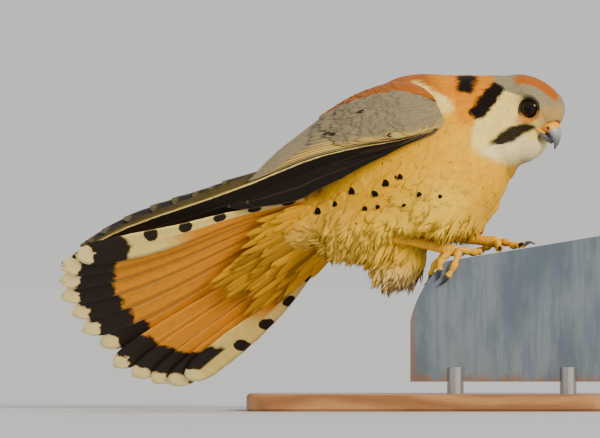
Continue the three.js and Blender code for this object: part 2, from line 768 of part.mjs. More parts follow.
put("head", largest(head), 0xc9b48c, 0.9);
put("bill_upper", largest(upperBill), 0x6f7680, 0.4);
put("bill_lower", largest(billLower().subtract(billUpper(GAP))), 0x5d5148, 0.45);
put("neck", largest(between(trunk, bodyAlong, neckCut, null)), 0xd9a765, 0.9);
put("torso", largest(torso), 0xdcb676, 0.9);
put("rump", largest(between(trunk, bodyAlong, null, rumpCut)), 0xdcb676, 0.9);
put("tail", tail(tailCut), 0xc8772f, 0.85);
put("perch_panel", panel(), 0x7f8894, 0.5, 0.6);
put("stand_base", standBase(), 0x9c7b56, 0.6);
ROD.places.forEach((x, i) => put(`stand_rod_${i + 1}`, standRod(x), 0x8b9097, 0.35, 0.9));

Object.entries({ right: -1, left: 1 }).forEach(([name, side]) => {
  const which = FEET[name];
  const near = thighsNear[side > 0 ? 1 : 0];
  const toes = foot(which).subtract(panelNear);
  const shank = tarsus(side, which).subtract(near).subtract(foot(which, GAP));
  const upperLeg = thigh(side).subtract(panelNear);
  put(`eye_${name}`, ball(eyeAt(side), EYE.radius, 16, 12), 0x1c0f0a, 0.1);
  put(`wing_${name}`, wing(side, [fleshNear, near]), 0x6d737c, 0.85);
  put(`thigh_${name}`, largest(upperLeg), 0xdcae66, 0.9);
  put(`tarsus_${name}`, largest(shank), 0xe0a02c, 0.6);
  put(`foot_${name}`, largest(toes), 0xe0a02c, 0.6);
  which.toes.forEach((_, i) => {
    const free = claw(which, i).subtract(foot(which, GAP)).subtract(panelNear);
    put(`claw_${name}_${i + 1}`, largest(free), 0x2a2724, 0.35);
  });
});

export default kestrel;
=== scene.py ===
"""Dresses the kestrel on its display stand: plumage, flight feathers, horn, bare skin, metal and wood."""

import logging
import math
from collections import defaultdict
from dataclasses import dataclass, field
from enum import Enum
from typing import Callable

import bpy
import numpy as np
from mathutils import Matrix, Vector
from mathutils.bvhtree import BVHTree
from mathutils.kdtree import KDTree


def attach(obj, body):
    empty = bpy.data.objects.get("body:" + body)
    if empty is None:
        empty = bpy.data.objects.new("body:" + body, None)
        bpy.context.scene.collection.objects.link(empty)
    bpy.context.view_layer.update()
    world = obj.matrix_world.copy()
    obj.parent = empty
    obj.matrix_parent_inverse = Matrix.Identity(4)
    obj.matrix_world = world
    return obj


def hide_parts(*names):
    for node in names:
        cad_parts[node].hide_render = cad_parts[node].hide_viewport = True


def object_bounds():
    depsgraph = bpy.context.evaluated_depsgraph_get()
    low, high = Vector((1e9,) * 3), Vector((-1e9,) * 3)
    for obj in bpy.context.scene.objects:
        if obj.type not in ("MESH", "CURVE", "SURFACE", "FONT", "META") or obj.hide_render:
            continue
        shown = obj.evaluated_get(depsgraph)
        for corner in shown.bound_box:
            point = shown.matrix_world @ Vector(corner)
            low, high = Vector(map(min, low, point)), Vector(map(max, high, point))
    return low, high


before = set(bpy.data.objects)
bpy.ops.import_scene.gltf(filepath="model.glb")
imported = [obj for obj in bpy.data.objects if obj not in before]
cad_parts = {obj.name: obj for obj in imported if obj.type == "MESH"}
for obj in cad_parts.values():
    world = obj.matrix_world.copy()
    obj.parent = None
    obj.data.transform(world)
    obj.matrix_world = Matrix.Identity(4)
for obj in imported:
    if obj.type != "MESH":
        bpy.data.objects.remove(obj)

CAD_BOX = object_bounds()
LOG = logging.getLogger("kestrel")
Array = np.ndarray
Pair = tuple[Array, Array]
Curve = Callable[[Array], Array]
MM = 0.001
SIDES = {"right": -1, "left": 1}


# Numbers and curves


def lerp(a: Array, b: Array, t: Array) -> Array:
    """Returns the value a share t of the way from a to b."""
    return a + (b - a) * t


def ease(x: Array, low: float, high: float) -> Array:
    """Returns 0 below low, 1 above high and a smooth rise between them."""
    t = np.clip((np.asarray(x, float) - low) / (high - low), 0, 1)
    return t * t * (3 - 2 * t)


def unit(v: Array) -> Array:
    """Returns v at length one."""
    return v / np.maximum(np.linalg.norm(v, axis=-1, keepdims=True), 1e-9)


def linear(code: int) -> Array:
    """Turns a screen colour such as 0xC47A40 into linear red, green and blue."""
    screen = np.array([(code >> 16) & 255, (code >> 8) & 255, code & 255]) / 255
    return np.where(screen <= 0.04045, screen / 12.92, ((screen + 0.055) / 1.055) ** 2.4)


def feather_half(along: Array, quill: float, full_by: float, tip_from: float, close: float = 0.97) -> Array:
    """Gives a feather's half width as a share of its fullest.

    Args:
        along: share of the feather's length.
        quill: half width at the root.
        full_by: share of the length by which it is full.
        tip_from: share of the length from which the tip rounds off.
        close: how far the tip closes, from 0 to 1.

    Returns:
        The half widths.
    """
    end = np.clip((along - tip_from) / (1 - tip_from), 0, 1)
    return lerp(quill, 1, ease(along, 0, full_by)) * np.sqrt(1 - close * end * end)


def read(at: Array, stops: Array, table: Array) -> Array:
    """Reads each column of a table at places between its stops."""
    return np.stack([np.interp(at, stops, column) for column in np.transpose(table)], -1)


def stacked(*parts: Array) -> Array:
    """Stacks numbers of shapes that fit together along a new last axis."""
    return np.stack(np.broadcast_arrays(*parts), -1)


def numbers(points: Array, *columns: Array) -> Array:
    """Returns three numbers for each point, zero where no column is given."""
    made = np.zeros_like(points)
    for k, column in enumerate(columns):
        made[:, k] = column
    return made


def neighbours(points: Array) -> KDTree:
    """Returns a tree that finds the points near a place."""
    tree = KDTree(len(points))
    for i, point in enumerate(points):
        tree.insert(point, i)
    tree.balance()
    return tree


class Line:
    """A centripetal Catmull-Rom line through points, read by share of its length."""

    def __init__(self, points: Array, samples: int = 60):
        """Samples the line.

        Args:
            points: the points that it passes through.
            samples: steps between two points.
        """
        p = np.asarray(points, float)
        p = np.vstack([2 * p[0] - p[1], p, 2 * p[-1] - p[-2]])
        t = np.linspace(0, 1, samples, endpoint=False)[:, None]
        parts = []
        for a, b, c, d in zip(p, p[1:], p[2:], p[3:]):
            da, db, dc = (math.sqrt(np.linalg.norm(v)) for v in (b - a, c - b, d - c))
            m = ((b - a) / da - (c - a) / (da + db) + (c - b) / db) * db
            n = ((c - b) / db - (d - b) / (db + dc) + (d - c) / dc) * db
            parts.append(b + m * t + (3 * (c - b) - 2 * m - n) * t**2 + (2 * (b - c) + m + n) * t**3)
        self.points = np.vstack([*parts, p[-2][None]])
        steps = np.linalg.norm(np.diff(self.points, axis=0), axis=1)
        self.length = float(steps.sum())
        self.shares = np.concatenate([[0], np.cumsum(steps)]) / self.length
        self.ways = unit(np.gradient(self.points, axis=0))

    def at(self, share: Array) -> Array:
        """Returns the points at the given shares of the length."""
        return read(share, self.shares, self.points)

    def way(self, share: Array) -> Array:
        """Returns the directions at the given shares of the length."""
        return unit(read(share, self.shares, self.ways))


class Axes:
    """A frame of its own: an origin, and ways forward, left and up."""

    def __init__(self, origin: Array, yaw: float, pitch: float = 0.0):
        """Turns the frame by yaw to the bird's right and by pitch downward, both in degrees."""
        self.origin = np.asarray(origin, float)
        turn = Matrix.Rotation(-math.radians(yaw), 3, "Z") @ Matrix.Rotation(math.radians(pitch), 3, "Y")
        self.turn = np.array(turn)

    def point(self, local: Array) -> Array:
        """Returns where a local point is."""
        return self.origin + self.way(local)

    def way(self, local: Array) -> Array:
        """Returns a local direction in the row frame."""
        return np.asarray(local, float) @ self.turn.T

    def local(self, points: Array) -> Array:
        """Returns the local coordinates of points."""
        return (points - self.origin) @ self.turn


BIRD = Axes([-14.4, 0, 0], 11)
HEAD = Axes([54.1, -16, 145.2], 38, 40)


# Shader expressions


def operator(operation: str, flipped: bool = False) -> Callable:
    """Makes a method that adds a Math node for one operation, with its two terms flipped where asked."""

    def method(self: "Value", other: object = 0.0) -> "Value":
        """Adds the node and returns its result."""
        terms = {0: other, 1: self} if flipped else {0: self, 1: other}
        return self.graph.value("ShaderNodeMath", {"operation": operation}, terms)

    return method


class Value:
    """A shader socket that takes part in sums."""

    __add__ = __radd__ = operator("ADD")
    __sub__ = operator("SUBTRACT")
    __rsub__ = operator("SUBTRACT", True)
    __mul__ = __rmul__ = operator("MULTIPLY")
    __truediv__ = operator("DIVIDE")
    __rtruediv__ = operator("DIVIDE", True)
    __abs__ = operator("ABSOLUTE")
    sine = operator("SINE")
    most = operator("MAXIMUM")

    def __init__(self, graph: "Graph", socket: bpy.types.NodeSocket):
        """Wraps a socket of the graph."""
        self.graph = graph
        self.socket = socket

    def between(self, low: float, high: float) -> "Value":
        """Rises smoothly from 0 at low to 1 at high, or falls where low is the larger."""
        sockets = {"Value": self, "From Min": min(low, high), "From Max": max(low, high)}
        sockets |= {"To Min": float(low > high), "To Max": float(low <= high)}
        return self.graph.value("ShaderNodeMapRange", {"interpolation_type": "SMOOTHSTEP"}, sockets)


class Graph:
    """A material's node tree round one Principled shader."""

    def __init__(self, name: str):
        """Starts the material."""
        self.material = bpy.data.materials.new(name)
        self.material.use_nodes = True
        self.tree = self.material.node_tree
        self.tree.nodes.clear()
        self.shader = self.node("ShaderNodeBsdfPrincipled")
        output = self.node("ShaderNodeOutputMaterial")
        self.tree.links.new(self.shader.outputs[0], output.inputs[0])

    def set(self, **sockets: object) -> None:
        """Sets or links sockets of the shader, named with underscores for spaces."""
        for name, value in sockets.items():
            self.feed(self.shader.inputs[name.replace("_", " ")], value)

    def feed(self, socket: bpy.types.NodeSocket, value: object) -> None:
        """Links a value to a socket, or sets a number or colour on it."""
        if isinstance(value, Value):
            self.tree.links.new(value.socket, socket)
        elif np.ndim(value):
            socket.default_value = [float(v) for v in value] + [1.0] * (socket.type == "RGBA")
        else:
            socket.default_value = value

    def node(self, kind: str, settings: dict | None = None, sockets: dict | None = None) -> bpy.types.Node:
        """Adds one node.

        Args:
            kind: the node's type.
            settings: its properties, set first.
            sockets: values or links by socket name or number.

        Returns:
            The node.
        """
        made = self.tree.nodes.new(kind)
        for name, value in (settings or {}).items():
            setattr(made, name, value)
        for name, value in (sockets or {}).items():
            self.feed(made.inputs[name], value)
        return made

    def value(
        self, kind: str, settings: dict | None = None, sockets: dict | None = None, output: object = 0
    ) -> Value:
        """Adds one node as node() does, and returns one of its outputs."""
        return Value(self, self.node(kind, settings, sockets).outputs[output])

    def place(self) -> Value:
        """Returns the point in the object's own coordinates, in millimetres."""
        return self.stretched(self.value("ShaderNodeTexCoord", output="Object"), (1 / MM,) * 3)

    def stretched(self, vector: Value, scale: tuple[float, float, float]) -> Value:
        """Returns a vector scaled along each axis."""
        return self.value("ShaderNodeVectorMath", {"operation": "MULTIPLY"}, {0: vector, 1: scale})

    def noise(self, vector: Value, scale: float, detail: float = 3.0, rough: float = 0.5) -> Value:
        """Returns noise between 0 and 1."""
        sockets = {"Vector": vector, "Scale": scale, "Detail": detail, "Roughness": rough}
        return self.value("ShaderNodeTexNoise", None, sockets)

    def cells(self, vector: Value, scale: float, feature: str = "F1") -> Value:
        """Returns the distance field of a cell pattern."""
        sockets = {"Vector": vector, "Scale": scale}
        return self.value("ShaderNodeTexVoronoi", {"feature": feature}, sockets, "Distance")

    def vector(self, x: Value, y: Value, z: Value) -> Value:
        """Joins three numbers into a vector."""
        return self.value("ShaderNodeCombineXYZ", None, {0: x, 1: y, 2: z})

    def split(self, vector: Value) -> list[Value]:
        """Returns a vector's three parts."""
        node = self.node("ShaderNodeSeparateXYZ", None, {0: vector})
        return [Value(self, output) for output in node.outputs]

    def ground(self) -> Value:
        """Returns the colour that the mesh carries."""
        return self.value("ShaderNodeAttribute", {"attribute_name": "plumage"}, output="Color")

    def parts(self, name: str) -> list[Value]:
        """Returns the three numbers that the mesh carries under a name."""
        return self.split(self.value("ShaderNodeAttribute", {"attribute_name": name}, output="Vector"))

    def mix(self, factor: object, a: object, b: object, blend: str = "MIX") -> Value:
        """Mixes two colours, given as links or as screen colours."""
        a, b = (linear(colour) if isinstance(colour, int) else colour for colour in (a, b))
        return self.value("ShaderNodeMix", {"data_type": "RGBA", "blend_type": blend}, {0: factor, 6: a, 7: b}, 2)

    def layered(self, colour: object, *layers: tuple) -> Value:
        """Lays colours over a colour, each given with the share that it covers."""
        for share, over in layers:
            colour = self.mix(share, colour, over)
        return colour

    def shaded(self, colour: Value, level: Value) -> Value:
        """Returns a colour times a level."""
        grey = self.value("ShaderNodeCombineColor", None, {0: level, 1: level, 2: level})
        return self.mix(1.0, colour, grey, "MULTIPLY")

    def number(self, factor: Value, a: Value, b: Value) -> Value:
        """Mixes two numbers."""
        return self.value("ShaderNodeMix", None, {0: factor, 2: a, 3: b})

    def bump(self, height: Value, strength: float, distance: float) -> Value:
        """Turns a height into a normal; distance is in millimetres."""
        return self.value("ShaderNodeBump", None, {"Height": height, "Strength": strength, "Distance": distance * MM})


# Palette


class Tone(int, Enum):
    """The bird's colours, as screen colours; the darkest also serves as painted shade under the wing."""

    RUFOUS = 0xAC5E0E
    NAPE = 0xDE8800
    SLATE = 0x8A7F66
    CROWN = 0x92876C
    BUFF = 0xF2B410
    PALE = 0xF5C838
    CREAM = 0xF9E084
    WHITE = 0xFCEDB4
    BLACK = 0x17100D
    UMBER = 0x4A3420
    STRAW = 0xC79A4A
    TAIL = 0xE69410
    # near-black: the primaries' own blackish brown, darkened further as painted shade for the shadow under the wing
    DUSK_AND_SHADE = 0x150D09
    GREY_DOWN = 0xC9B68C

    @property
    def rgb(self) -> Array:
        """The colour in linear light."""
        return linear(self)


def paint(base: Array, tone: Tone, mask: Array) -> Array:
    """Lays a tone over colours where the mask is 1."""
    return lerp(base, tone.rgb, np.clip(mask, 0, 1)[..., None])


# Finishes


FLESH = {"Subsurface_Radius": (0.002, 0.0008, 0.0003), "Subsurface_Scale": 0.5}


class Finish:
    """A finish, which is made into a material once."""

    name: str

    def material(self) -> bpy.types.Material:
        """Returns the material, made on its first use."""
        made = bpy.data.materials.get(self.name)
        if made is None:
            graph = Graph(self.name)
            self.lay(graph)
            made = graph.material
        return made

    def lay(self, g: Graph) -> None:
        """Lays out the material's nodes."""
        raise NotImplementedError


@dataclass(frozen=True)
class Plumage(Finish):
    """Soft body feathers: fine barbs, a shadowed root, and a dark drop where marked."""

    name: str = "plumage"
    barb: float = 3.4
    relief: float = 0.22

    def lay(self, g: Graph) -> None:
        """Lays out barbs, shade and drop."""
        g.set(Roughness=0.85, Sheen_Weight=0.04, Sheen_Roughness=0.5, Specular_IOR_Level=0.1)
        across, along, own = g.parts("traits")
        spot, _, length = g.parts("marks")
        flow = (along - abs(across) * 0.35) * length * self.barb
        barbs = g.noise(g.vector(flow * 0.12, across * length * 0.75, own * 61), 1.3, 4, 0.65)
        fine = g.noise(g.vector(flow, abs(across) * 1.4, own * 37), 1.3, 2, 0.6)
        patches = g.noise(g.place(), 0.13, 3)
        shade = 0.62 + barbs * 0.5 + fine * 0.12 + own * 0.08 + (patches - 0.5) * 0.34
        shade = shade * (0.92 + along.between(0.1, 0.62) * 0.08)
        drop = (across * across * 1.7 + (along - 0.8) * (along - 0.8) * 34) / spot.most(0.05)
        drop = drop.between(1.0, 0.75) * spot.between(0.05, 0.2)
        colour = g.mix(drop, g.shaded(g.ground(), shade), Tone.BLACK)
        g.set(Base_Color=colour, Normal=g.bump(barbs + fine * 0.4, 0.7, self.relief))


@dataclass(frozen=True)
class Undercoat(Finish):
    """The skin below the feathers, in their colours with a streaked down."""

    name: str = "undercoat"

    def lay(self, g: Graph) -> None:
        """Lays out the down."""
        down = g.noise(g.place(), 1.1, 4, 0.6)
        g.set(Roughness=0.9, Sheen_Weight=0.04, Specular_IOR_Level=0.1)
        g.set(Base_Color=g.shaded(g.ground(), 0.72 + down * 0.3), Normal=g.bump(down, 0.6, 0.3))


@dataclass(frozen=True)
class Vane(Finish):
    """Stiff wing feathers: close barbs, a dark shaft and a pale outer edge, which on the outermost primaries is
    partly a painted highlight along the leading edge.
    """

    name: str = "flight_vane"
    barb: float = 2.6
    roughness: float = 0.55

    def lay(self, g: Graph) -> None:
        """Lays out barbs, edges and shaft."""
        across, along, own = g.parts("traits")
        _, pale, rest = g.parts("marks")
        flow = (rest + abs(across) * 4) * self.barb
        barbs = g.noise(g.vector(flow, abs(across) * 2.5, own * 47), 1.0, 2)
        wear = g.noise(g.place(), 0.3, 3)
        # cream outer edge as strong as the pale mark: the feather's own pale edging, and on the outermost primaries
        # partly a painted highlight where the leading edge catches the light
        outer = (0 - across + (wear - 0.5) * 0.1).between(0.9, 0.97) * pale
        tip = along.between(0.965, 0.99) * 0.12
        colour = g.layered(
            g.shaded(g.ground(), 0.70 + barbs * 0.26 + own * 0.12 + wear * 0.22),
            (outer.most(tip), Tone.CREAM),
            (across.between(0.9, 0.99) * 0.12, Tone.GREY_DOWN),
            (abs(across).between(0.08, 0.03) * 0.6, Tone.UMBER),
        )
        g.set(Sheen_Weight=0.04, Specular_IOR_Level=0.2)
        g.set(Base_Color=colour, Roughness=self.roughness + barbs * 0.2, Normal=g.bump(barbs, 0.5, 0.1))


@dataclass(frozen=True)
class Coverts(Finish):
    """Wing coverts and scapulars, some with a black drop."""

    name: str = "wing_coverts"
    barb: float = 3.0

    def lay(self, g: Graph) -> None:
        """Lays out barbs, drop, edges and shaft."""
        across, along, own = g.parts("traits")
        spot, pale, rest = g.parts("marks")
        flow = (rest + abs(across) * 2) * self.barb
        barbs = g.noise(g.vector(flow * 0.15, across * 3.2, own * 53), 1.2, 4, 0.6)
        wear = g.noise(g.place(), 0.2, 3)
        drop = (across * across * 1.6 + (along - 0.8) * (along - 0.8) * 30).between(1.0, 0.7) * spot
        colour = g.layered(
            g.shaded(g.ground(), 0.62 + barbs * 0.42 + own * 0.12 + (wear - 0.5) * 0.34),
            (drop, Tone.BLACK),
            # cream outer edge by the pale mark: own pale edging, and on the coverts along the leading edge partly a
            # painted highlight
            ((0 - across).between(0.5, 0.85) * pale, Tone.CREAM),
            (along.between(0.88, 1.0) * 0.14, Tone.GREY_DOWN),
            (abs(across).between(0.09, 0.02) * 0.35, Tone.UMBER),
        )
        g.set(Roughness=0.72, Sheen_Weight=0.05, Specular_IOR_Level=0.15)
        g.set(Base_Color=colour, Normal=g.bump(barbs, 0.5, 0.09))


@dataclass(frozen=True)
class TailVane(Finish):
    """Chestnut tail feathers with a black band before a white tip, the outermost white with black blots and darkened
    to straw toward the root as painted shadow of the wing.
    """

    name: str = "tail_vane"
    tip: float = 8.5
    band: float = 26.5
    barb: float = 2.4

    def lay(self, g: Graph) -> None:
        """Lays out webs, band, blots, tip and shaft."""
        across, _, own = g.parts("traits")
        order, outward, rest = g.parts("marks")
        outer = (across * outward).between(0.1, -0.1)
        flow = (rest + abs(across) * 5) * self.barb
        barbs = g.noise(g.vector(flow, abs(across) * 2.5, own * 47), 1.0, 2)
        wear = g.noise(g.place(), 0.3, 3)
        last = order.between(0.9, 0.95)
        ground = g.ground()
        # the outermost feather's white web, cream near the tip and going to straw toward the root as painted shadow
        # of the wing over it
        pale_web_and_shadow = g.mix(rest.between(60, 130) * 0.8, Tone.CREAM, Tone.STRAW)
        web = g.mix(last, ground, g.mix(outer.most(rest.between(60, 40)), ground, pale_web_and_shadow))
        wavy = rest + abs(across) * 3 + (wear - 0.5) * 5 + (own - 0.5) * 2
        band = wavy.between(self.tip - 0.8, self.tip + 0.8) * wavy.between(self.band + 1.4, self.band - 1.4)
        blots = (rest * 0.37 + outward * 2.21 + 4.49).sine() + (wear - 0.5) * 0.8
        blots = blots - (abs(across) - 0.6) * (abs(across) - 0.6) * 2
        blots = blots.between(0.15, 0.4) * outer * rest.between(24, 28)
        low = outer * last * outward.between(0.1, -0.1)
        shaft = abs(across).between(0.07, 0.03) * rest.between(4, 16)
        colour = g.layered(
            g.shaded(web, 0.74 + barbs * 0.2 + own * 0.16 + (wear - 0.5) * 0.3),
            ((band * (1 - low)).most(blots * last), g.mix(barbs, Tone.BLACK, 0x2A1E16)),
            (wavy.between(self.tip + 0.8, self.tip - 0.8), g.mix(barbs, Tone.CREAM, Tone.WHITE)),
            (shaft * (1 - band) * 0.4, 0xF0C070),
            (abs(across).between(0.93, 1.0) * 0.35 * rest.between(20, 28), Tone.CREAM),
        )
        g.set(Sheen_Weight=0.04, Specular_IOR_Level=0.2)
        g.set(Base_Color=colour, Roughness=0.52 + barbs * 0.2, Normal=g.bump(barbs, 0.5, 0.1))


@dataclass(frozen=True)
class EyeGloss(Finish):
    """A dark brown iris round a black pupil, under a wet clear coat."""

    name: str = "eye_gloss"

    def lay(self, g: Graph) -> None:
        """Lays out iris, pupil and rim."""
        theta, _, _ = g.parts("traits")
        rays = g.noise(g.place(), 2.2, 4)
        pupil = (theta + (rays - 0.5) * 0.03).between(0.52, 0.46)
        rim = theta.between(0.82, 0.95)
        g.set(Roughness=0.05, Coat_Weight=0.08, Coat_Roughness=0.01, Specular_IOR_Level=0.14)
        g.set(Base_Color=g.layered(0x150A05, (rays, 0x2A150A), (pupil, 0x060404), (rim, 0x0A0605)))


@dataclass(frozen=True)
class Wax(Finish):
    """Waxy orange-yellow bare skin of cere and gape."""

    name: str = "bare_skin"

    def lay(self, g: Graph) -> None:
        """Lays out mottling, creases and the painted shade of the nostrils."""
        mottle = g.noise(g.place(), 1.1, 4)
        fine = g.cells(g.place(), 3.0)
        nostril_shade, _, _ = g.parts("traits")
        colour = g.layered(
            0xE48C06,
            (mottle.between(0.3, 0.7), 0xF5B820),
            (fine.between(0.2, 0.0) * 0.3, 0xB5651A),
            # painted shade in the nostril openings
            (nostril_shade, 0x5A2208),
        )
        g.set(Subsurface_Weight=0.15, **FLESH)
        g.set(Base_Color=colour, Roughness=0.32 + mottle * 0.2, Normal=g.bump(fine, 0.35, 0.1))


@dataclass(frozen=True)
class Lids(Finish):
    """Eyelids, orange below the eye and dark above it, the dark above being painted shade under the brow."""

    name: str = "eyelids"

    def lay(self, g: Graph) -> None:
        """Lays out the dark rim and the bright crescent."""
        out, low, _ = g.parts("traits")
        mottle = g.noise(g.place(), 1.4, 4)
        fine = g.cells(g.place(), 3.4)
        orange = g.mix(mottle.between(0.35, 0.65), 0xB8690F, 0xE8A535)
        bright = (low + (mottle - 0.5) * 0.2).between(0.42, 0.68) * out.between(-0.8, -0.5)
        # dark except on the crescent: painted shade under the brow over the top of the eye, and dark along the inner
        # rim
        colour = g.layered(0x22150C, (mottle, 0x3E2E1E), (bright, orange))
        g.set(Subsurface_Weight=0.1, **FLESH)
        g.set(Base_Color=colour, Roughness=0.36 + mottle * 0.2, Normal=g.bump(fine, 0.4, 0.1))


@dataclass(frozen=True)
class Horn(Finish):
    """Blue-grey horn that darkens to the hook."""

    name: str = "bill_horn"

    def lay(self, g: Graph) -> None:
        """Lays out the growth lines."""
        share, _, _ = g.parts("traits")
        growth = g.noise(g.stretched(g.place(), (0.6, 0.6, 2.4)), 0.9, 4)
        colour = g.layered(0x9AA3A8, (share.between(0.35, 0.9), 0x45474E), ((growth - 0.35) * 0.5, 0xB9BDBD))
        g.set(Specular_IOR_Level=0.5, Coat_Weight=0.3, Coat_Roughness=0.2)
        g.set(Base_Color=colour, Roughness=0.26 + growth * 0.2, Normal=g.bump(growth, 0.25, 0.12))


@dataclass(frozen=True)
class Scales(Finish):
    """Yellow scaled leg skin with darker seams."""

    name: str = "leg_scales"

    def lay(self, g: Graph) -> None:
        """Lays out scutes in front and small scales behind."""
        turn, ring, _ = g.parts("traits")
        cells = g.cells(g.place(), 1.1, "DISTANCE_TO_EDGE")
        scute = abs((ring * math.pi).sine())
        front = abs(turn - 0.5).between(0.12, 0.24)
        seam = g.number(front, scute.between(0.0, 0.4), cells.between(0.0, 0.16))
        mottle = g.noise(g.place(), 0.5, 4)
        colour = g.layered(0xEDA400, (mottle, 0xFCC814), ((1 - seam) * 0.4, 0x9A5A10))
        g.set(Subsurface_Weight=0.1, **FLESH)
        g.set(Base_Color=colour, Roughness=0.38 + mottle * 0.2, Normal=g.bump(seam, 0.6, 0.25))


@dataclass(frozen=True)
class Talon(Finish):
    """Black horn, paler where it leaves the toe."""

    name: str = "talon_horn"

    def lay(self, g: Graph) -> None:
        """Lays out the growth lines."""
        share, _, _ = g.parts("traits")
        growth = g.noise(g.place(), 2.4, 3)
        colour = g.layered(0x3A3430, (share.between(0.0, 0.35), 0x0E0D0D), (growth * 0.25, 0x4A4642))
        g.set(Specular_IOR_Level=0.5, Coat_Weight=0.3, Coat_Roughness=0.15)
        g.set(Base_Color=colour, Roughness=0.22 + growth * 0.2, Normal=g.bump(growth, 0.2, 0.08))


@dataclass(frozen=True)
class Weathered(Finish):
    """Painted sheet metal gone grey and chalky, streaked by rain, with rust at its edges."""

    name: str = "weathered_sheet"
    left: float = -9.6
    bottom: float = 14

    def lay(self, g: Graph) -> None:
        """Lays out chalky patches, streaks and rust."""
        place = g.place()
        x, _, z = g.split(place)
        broad = g.noise(g.stretched(place, (1, 1, 0.3)), 0.055, 5, 0.6)
        streaks = g.noise(g.stretched(place, (1, 1, 0.07)), 0.35, 4, 0.6)
        fine = g.noise(place, 1.3, 5, 0.65)
        edge = (x + (broad - 0.5) * 10).between(self.left + 3.5, self.left + 0.2)
        low = (z + (streaks - 0.5) * 14).between(self.bottom + 4, self.bottom)
        rust = edge.most(low) * fine.between(0.38, 0.56)
        colour = g.layered(
            0x526070,
            (broad.between(0.4, 0.62), 0x6C7886),
            (streaks.between(0.46, 0.66) * 0.5, 0x4C5C7C),
            (fine.between(0.58, 0.72) * 0.25, 0x5E6069),
            (rust * 0.8, g.mix(streaks, 0x6B3F22, 0x9A6238)),
        )
        g.set(Specular_IOR_Level=0.35)
        g.set(Base_Color=colour, Roughness=0.5 + fine * 0.3, Normal=g.bump(fine + broad, 0.4, 0.35))


@dataclass(frozen=True)
class Timber(Finish):
    """Oiled hardwood with long grain and open pores."""

    name: str = "oiled_timber"

    def lay(self, g: Graph) -> None:
        """Lays out grain and pores."""
        place = g.place()
        bent = g.noise(g.stretched(place, (0.25, 1, 1)), 0.03, 3)
        _, y, z = g.split(place)
        rings = ((y * 0.42 + z * 0.3 + bent * 26).sine() + 1) * 0.5
        pores = g.noise(g.stretched(place, (0.06, 1.6, 1.6)), 1.5, 4, 0.6)
        colour = g.layered(0x8A5A34, (rings, 0xB07F50), (pores.between(0.52, 0.7) * 0.5, 0x5E3A20))
        g.set(Specular_IOR_Level=0.4, Coat_Weight=0.15, Coat_Roughness=0.35)
        g.set(Base_Color=colour, Roughness=0.36 + pores * 0.22, Normal=g.bump(pores + rings * 0.3, 0.3, 0.15))


@dataclass(frozen=True)
class Steel(Finish):
    """Brushed steel rods."""

    name: str = "brushed_steel"

    def lay(self, g: Graph) -> None:
        """Lays out the brushing."""
        brush = g.noise(g.stretched(g.place(), (1, 1, 0.04)), 4, 4)
        g.set(Metallic=0.9, Specular_IOR_Level=0.5, Roughness=0.26 + brush * 0.2)
        g.set(Base_Color=g.mix(brush, 0x8C8D90, 0xB9BABC), Normal=g.bump(brush, 0.15, 0.05))


@dataclass(frozen=True)
class Ground(Finish):
    """The pale studio floor."""

    name: str = "studio_floor"

    def lay(self, g: Graph) -> None:
        """Lays out a faint mottling."""
        g.set(Roughness=0.85, Specular_IOR_Level=0.1)
        g.set(Base_Color=g.mix(g.noise(g.place(), 0.004, 2), 0xBDC2CC, 0xC1C6D0))


# Solid vanes


@dataclass
class Vanes:
    """Collects closed thin vanes, each made on a grid, into one mesh."""

    name: str
    parts: dict = field(default_factory=lambda: defaultdict(list))
    count: int = 0
    patch: float = 0.003

    def add(
        self, grid: Array, up: Array, thick: Array, colour: Array, traits: Array, marks: Array, root: Array
    ) -> None:
        """Adds vanes of one grid size.

        Args:
            grid: middle surface in millimetres, shaped vanes x rows x columns x 3.
            up: the way the upper face looks, of the same shape.
            thick: thickness in millimetres, vanes x rows x columns.
            colour: linear colours that fit the grid's shape.
            traits: across, along and a random number, as the colours.
            marks: three pattern numbers, as the colours.
            root: place of each vane on the unwrap, vanes x 2.
        """
        vanes, rows, columns = grid.shape[:3]
        size = rows * columns
        half = up * (thick / 2)[..., None]
        cell = np.arange(size).reshape(rows, columns)
        top = grid_faces(rows, columns, sides=0)
        rim = np.concatenate([cell[0], cell[1:, -1], cell[-1, -2::-1], cell[-2:0:-1, 0]])
        ahead = np.roll(rim, -1)
        side = np.stack([ahead, rim, rim + size, ahead + size], -1)
        start = self.count + np.arange(vanes)[:, None, None] * 2 * size
        colour, traits, marks = (np.broadcast_to(data, grid.shape) for data in (colour, traits, marks))
        unwrap = root[:, None, None] + (traits[..., :2] * [0.5, 1] - [0, 0.5]) * self.patch
        double = lambda data: np.concatenate([data, data], axis=1).reshape(-1, data.shape[-1])
        made = {
            "points": np.concatenate([grid + half, grid - half], axis=1).reshape(-1, 3),
            "faces": (np.vstack([top, top[:, ::-1] + size, side]) + start).reshape(-1, 4),
            "smooth": np.tile(np.repeat([True, False], [2 * len(top), len(side)]), vanes),
            "colour": double(colour),
            "traits": double(traits),
            "marks": double(marks),
            "unwrap": double(unwrap),
        }
        for label, data in made.items():
            self.parts[label].append(data)
        self.count += vanes * 2 * size

    def build(self, finish: Finish) -> bpy.types.Object:
        """Makes the mesh object and returns it."""
        joined_up = {label: np.concatenate(data) for label, data in self.parts.items()}
        return mesh_object(self.name, finish=finish, **joined_up)


